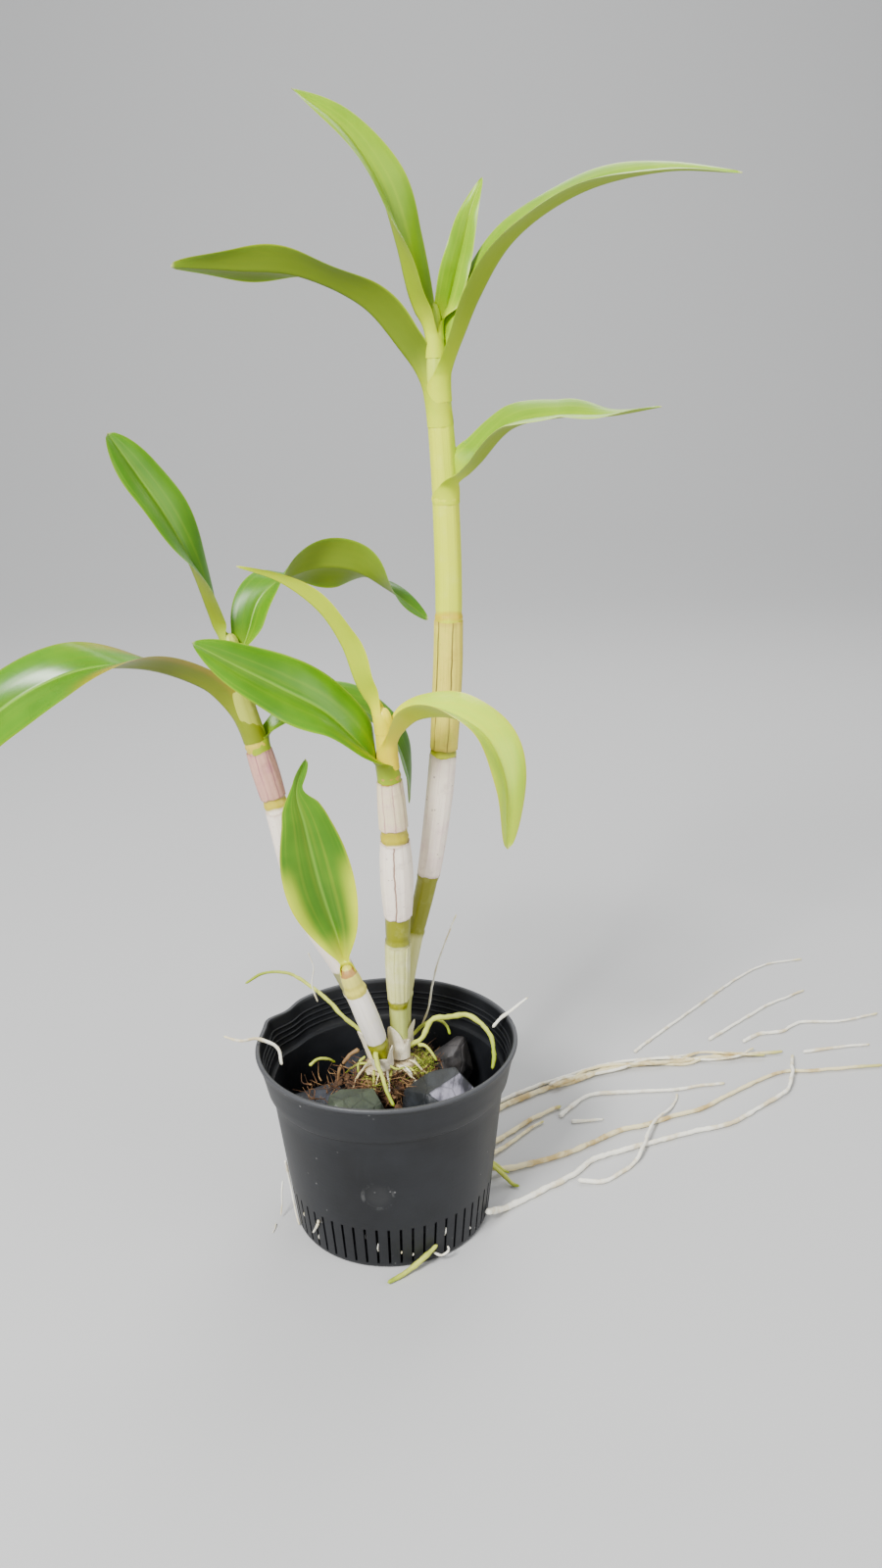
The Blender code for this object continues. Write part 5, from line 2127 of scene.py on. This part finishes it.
LEAVES = (
    Leaf("leaf_top_left", TALL, 342, 190,
         ((-5, -1, 13), (-10, -3, 34), (-17, -6, 55), (-30, -9, 74), (-49, -12, 88)),
         28, (-20, -20, -38, -46, -34), (50, 35, 30, 25, 10), LeafFinish("blade_top_left", **YOUNG),
         base=0.36, drop=12, wrap=165),
    Leaf("leaf_top_centre", TALL, 346, 30,
         ((3, 1, 9), (6, 2, 20), (9, 3, 31), (12, 4, 42), (17, 5, 54)),
         14, (50, 50, 48, 43, 37), (50, 40, 35, 30, 10), LeafFinish("blade_top_centre", **YOUNG),
         widest=0.4, base=0.5, wrap=120),
    Leaf("leaf_top_right", TALL, 326, -20,
         ((11, -3, 27), (27, -5, 50), (54, -7, 66), (86, -10, 72), (116, -14, 70)),
         26, (40, 25, 22, 20, 20), (55, 34, 25, 20, 10), LeafFinish("blade_top_right", **YOUNG),
         widest=0.42, base=0.5, drop=14, wrap=170, clasp=0.12),
    Leaf("leaf_top_arching", TALL, 322, 175,
         ((-8, 1, 12), (-24, 3, 30), (-50, 5, 42), (-78, 8, 45), (-105, 11, 47)),
         26, (30, 30, 16, 36, 36), (58, 36, 25, 20, 10), LeafFinish("blade_top_arching", **{
             **YOUNG, "upper": tone(92, 124, 0), "mottle_and_shade": tone(76, 108, 0),
             "under": tone(96, 116, 0)}),
         widest=0.5, wave=0.9, base=0.5, drop=20, wrap=172, clasp=0.16, blunt=0.28),
    Leaf("leaf_upper_right", TALL, 278, -44,
         ((9, -4, 9), (23, -5, 23), (43, -6, 27), (64, -8, 27), (86, -10, 30)),
         26, (50, 48, 28, 14, 8), (52, 32, 20, 15, 10), LeafFinish("blade_upper_right", **YOUNG),
         widest=0.42, base=0.52, drop=9, wrap=125),
    Leaf("leaf_middle_left", MIDDLE, 158, 225,
         ((-7, -4, 11), (-21, -7, 27), (-39, -11, 39), (-57, -14, 50), (-74, -17, 61)),
         32, (-30, -55, -66, -68, -65), (30, 20, 12, 10, 8), LeafFinish(
             "blade_middle_left", **MATURE, gloss=0.24), widest=0.47, base=0.2),
    Leaf("leaf_middle_right", MIDDLE, 170, -30,
         ((9, -4, 10), (25, -10, 12), (39, -16, 4), (47, -22, -15), (47, -28, -43)),
         29, (43, 5, 2, 7, 11), (55, 38, 25, 18, 10), LeafFinish(
             "blade_middle_right", tone(190, 218, 30), tone(160, 200, 10), tone(190, 204, 30),
             tone(250, 216, 0), 0.4, 0.24, 0.4, tone(226, 234, 70)), widest=0.55, drop=15, base=0.44,
         wrap=165, clasp=0.14, blunt=0.3),
    Leaf("leaf_middle_narrow", MIDDLE, 184, 160,
         ((-5, -4, 13), (-10, -8, 30), (-19, -13, 46), (-34, -18, 59), (-51, -22, 66)),
         17, (35, 37, 41, 38, 32), (50, 45, 40, 35, 20), LeafFinish("blade_middle_narrow", **{
             **YOUNG, "upper": tone(184, 206, 0), "mottle_and_shade": tone(160, 190, 0), "under": tone(186, 202, 0),
             "base": tone(240, 222, 0)}), widest=0.4, drop=12, base=0.5, wrap=165, clasp=0.14),
    Leaf("leaf_left_upright", LEFT, 214, 160,
         ((-3, -1, 13), (-9, -2, 33), (-18, -4, 54), (-28, -6, 72), (-38, -8, 89)),
         27, (45, 33, 0, -17, -15), (40, 25, 18, 15, 8), LeafFinish(
             "blade_left_upright", **MATURE, base_reach=0.3), widest=0.58, drop=8, base=0.3, blunt=0.4),
    Leaf("leaf_left_arching", LEFT, 208, 20,
         ((8, 5, 22), (27, 13, 33), (47, 21, 32), (65, 28, 20), (82, 34, 5)),
         27, (52, 44, 20, -34, -60, -52, 0, 34, 40), (40, 30, 22, 12, 10, 10, 12, 10, 8),
         LeafFinish("blade_left_arching", **OLIVE_BACKED), widest=0.5, base=0.3),
    Leaf("leaf_left_drooping", LEFT, 180, 190,
         ((-11, -3, 13), (-36, -7, 23), (-66, -11, 22), (-98, -15, 7), (-124, -19, -20)),
         34, (36, 32, 26, 14, -8, -34, -50, -56, -56), (50, 34, 24, 18, 14, 12, 10, 10, 8),
         LeafFinish(
             "blade_left_drooping",
             **{**MATURE, "under": tone(108, 116, 0), "base": tone(126, 138, 0)},
             base_reach=0.34, gloss=0.22, blush=tone(152, 128, 8)),
         widest=0.62, drop=14, base=0.34, wrap=165, clasp=0.12, blunt=0.35),
    Leaf("leaf_left_hidden", LEFT, 168, 25,
         ((18, 7, 12), (39, 13, 8), (54, 18, -6), (61, 21, -25), (62, 25, -44)),
         26, (20, 22, 30, 34, 29), (40, 25, 20, 15, 10), LeafFinish("blade_left_hidden", **OLIVE_BACKED),
         widest=0.5, blunt=0.3),
    Leaf("leaf_front", SHORT, 59, 100,
         ((-3, -1, 15), (-6.4, -4, 30), (-9.4, -7, 45), (-11.8, -9.5, 60), (-14, -12, 75),
          (-16.4, -14, 91), (-11.5, -14, 106)),
         33, (-12, -10, -6, 0, 8, 14, 20), (45, 24, 16, 12, 10, 14, 30),
         LeafFinish(
             "blade_front", **{**MATURE, "base": tone(206, 208, 20), "base_reach": 0.24},
             blush=tone(200, 214, 10), blush_place=0.3),
         widest=0.43, base=0.05, drop=3, clasp=0.05, wrap=120, power=2.0, pinch=0.5, blunt=0.16),
)


class Plant:
    """The orchid: crown, canes, sleeves, leaves and roots."""

    def canes(self) -> None:
        """Makes the four canes."""
        for cane, stops in CANE_BANDS:
            cane.build(CaneFinish(cane.name + "_bands", bands(cane, stops)))

    def sleeves(self) -> None:
        """Makes the dry sleeves and the scraps of older ones."""
        for sheath in SLEEVES:
            sheath.build()
        scrap = SheathFinish(
            "scale_paper", tone(246, 236, 208), tone(196, 176, 128), tone(140, 104, 66),
            blush=tone(228, 216, 170),
        ).material()
        for scale in SCALES:
            scale.build(scrap)

    def leaves(self) -> None:
        """Makes the thirteen leaves."""
        for leaf in LEAVES:
            leaf.build()

    def crown(self) -> None:
        """The woody crown that the canes and the roots grow from."""
        def place(u: float, v: float) -> Vector:
            """Finds a point on the lumpy crown.

            Args:
                u: The share of a turn.
                v: The share of its height.

            Returns:
                The point.
            """
            swell = sin(pi * v) ** 0.45 if 0 < v < 1 else 0.0
            spot = polar(360 * u, 1, v * 2)
            rough = 1 + 0.13 * noise.noise(spot * 2.6) + 0.07 * noise.noise(spot * 7)
            radius = (12 + 1.6 * cos(3 * tau * u)) * MM * swell * rough
            return polar(360 * u, radius, CROWN_LOW + 6 * MM * (1 - cos(pi * v)) / 2)

        finish = BarkFibre("crown_wood", tone(120, 96, 62), tone(196, 178, 138), tone(232, 222, 196))
        skin_piece("crown_wood", place, 96, 40, finish.material(), Slot.FIBRE, ["crown"])

    def build(self) -> None:
        """Makes the whole plant."""
        self.crown()
        self.canes()
        self.sleeves()
        self.leaves()
        Roots().build()


# ---------------------------------------------------------------- studio

@dataclass(frozen=True)
class SoftLight:
    """One square studio light, aimed at the plant's middle or at another point."""

    name: str
    place: Point
    size: float
    power: float
    aim: Point = (0.02, 0.0, 0.22)

    def build(self) -> None:
        """Hangs the light."""
        data = bpy.data.lights.new(self.name, "AREA")
        data.shape = "SQUARE"
        data.size = self.size
        data.energy = self.power
        light = bpy.data.objects.new(self.name, data)
        light.location = self.place
        ray = Vector(self.aim) - Vector(self.place)
        light.rotation_euler = ray.to_track_quat("-Z", "Y").to_euler()
        bpy.context.scene.collection.objects.link(light)


@dataclass
class Studio:
    """A plain pale floor that curves up into a backdrop, soft lights, an even sky and the camera."""

    lights: tuple[SoftLight, ...] = (
        SoftLight("key_light", (-0.62, -1.05, 1.25), 0.42, 52),
        SoftLight("fill_light", (1.3, -0.8, 0.8), 1.0, 9),
        SoftLight("back_light", (0.3, 1.1, 1.3), 0.8, 10),
        SoftLight("backdrop_light", (0.0, 1.0, 2.6), 1.2, 45, (0.0, 3.6, 0.9)),
    )
    floor_tone: Colour = tone(188, 188, 187)
    floor_roughness: float = 0.75
    floor_strips: int = 80
    sky_tone: Colour = tone(236, 238, 242)
    sky_strength: float = 0.82
    floor_reach: float = 8.0
    sweep_start: float = 1.7  # where the floor starts to curve up into the backdrop
    sweep_radius: float = 2.0
    camera_place: Point = (0.030, -0.540, 0.409)
    camera_pitch: float = 18.3
    camera_roll: float = -1.35
    lens: float = 28.125
    sensor_width: float = 36.0
    near_clip: float = 0.01

    def floor(self) -> None:
        """Lays the floor and sweeps its back up."""
        bm = bmesh.new()
        bmesh.ops.create_grid(bm, x_segments=1, y_segments=self.floor_strips, size=self.floor_reach)
        for vert in bm.verts:
            along = vert.co.y - self.sweep_start
            if along > 0:
                turn = min(along / self.sweep_radius, pi / 2)
                climb = max(along - self.sweep_radius * pi / 2, 0.0)
                vert.co.y = self.sweep_start + self.sweep_radius * sin(turn)
                vert.co.z = self.sweep_radius * (1 - cos(turn)) + climb
        mesh = bpy.data.meshes.new("studio_floor")
        bm.to_mesh(mesh)
        bm.free()
        mesh.shade_smooth()
        mesh.materials.append(Nodes("studio_floor").dress(self.floor_tone, self.floor_roughness))
        floor = bpy.data.objects.new("studio_floor", mesh)
        bpy.context.scene.collection.objects.link(floor)

    def sky(self) -> None:
        """Lights everything evenly from all round."""
        world = bpy.data.worlds.new("studio_sky")
        world.use_nodes = True
        background = world.node_tree.nodes["Background"]
        background.inputs["Color"].default_value = self.sky_tone
        background.inputs["Strength"].default_value = self.sky_strength
        bpy.context.scene.world = world

    def camera(self) -> None:
        """Places the camera."""
        data = bpy.data.cameras.new("camera")
        data.sensor_fit = "AUTO"
        data.sensor_width = self.sensor_width
        data.lens = self.lens
        data.clip_start = self.near_clip
        camera = bpy.data.objects.new("camera", data)
        turn = Matrix.Rotation(radians(90 - self.camera_pitch), 4, "X")
        turn @= Matrix.Rotation(radians(self.camera_roll), 4, "Z")
        camera.matrix_world = Matrix.Translation(self.camera_place) @ turn
        bpy.context.scene.collection.objects.link(camera)
        bpy.context.scene.camera = camera

    def build(self) -> None:
        """Sets the floor, the lights, the sky and the camera."""
        self.floor()
        for light in self.lights:
            light.build()
        self.sky()
        self.camera()


def main() -> None:
    """Builds the object piece by piece, then the studio round it."""
    logging.basicConfig(level=logging.INFO, format="%(name)s %(message)s")
    Pot().build()
    Filling().build()
    Plant().build()
    Studio().build()


if __name__ == "__main__":
    main()
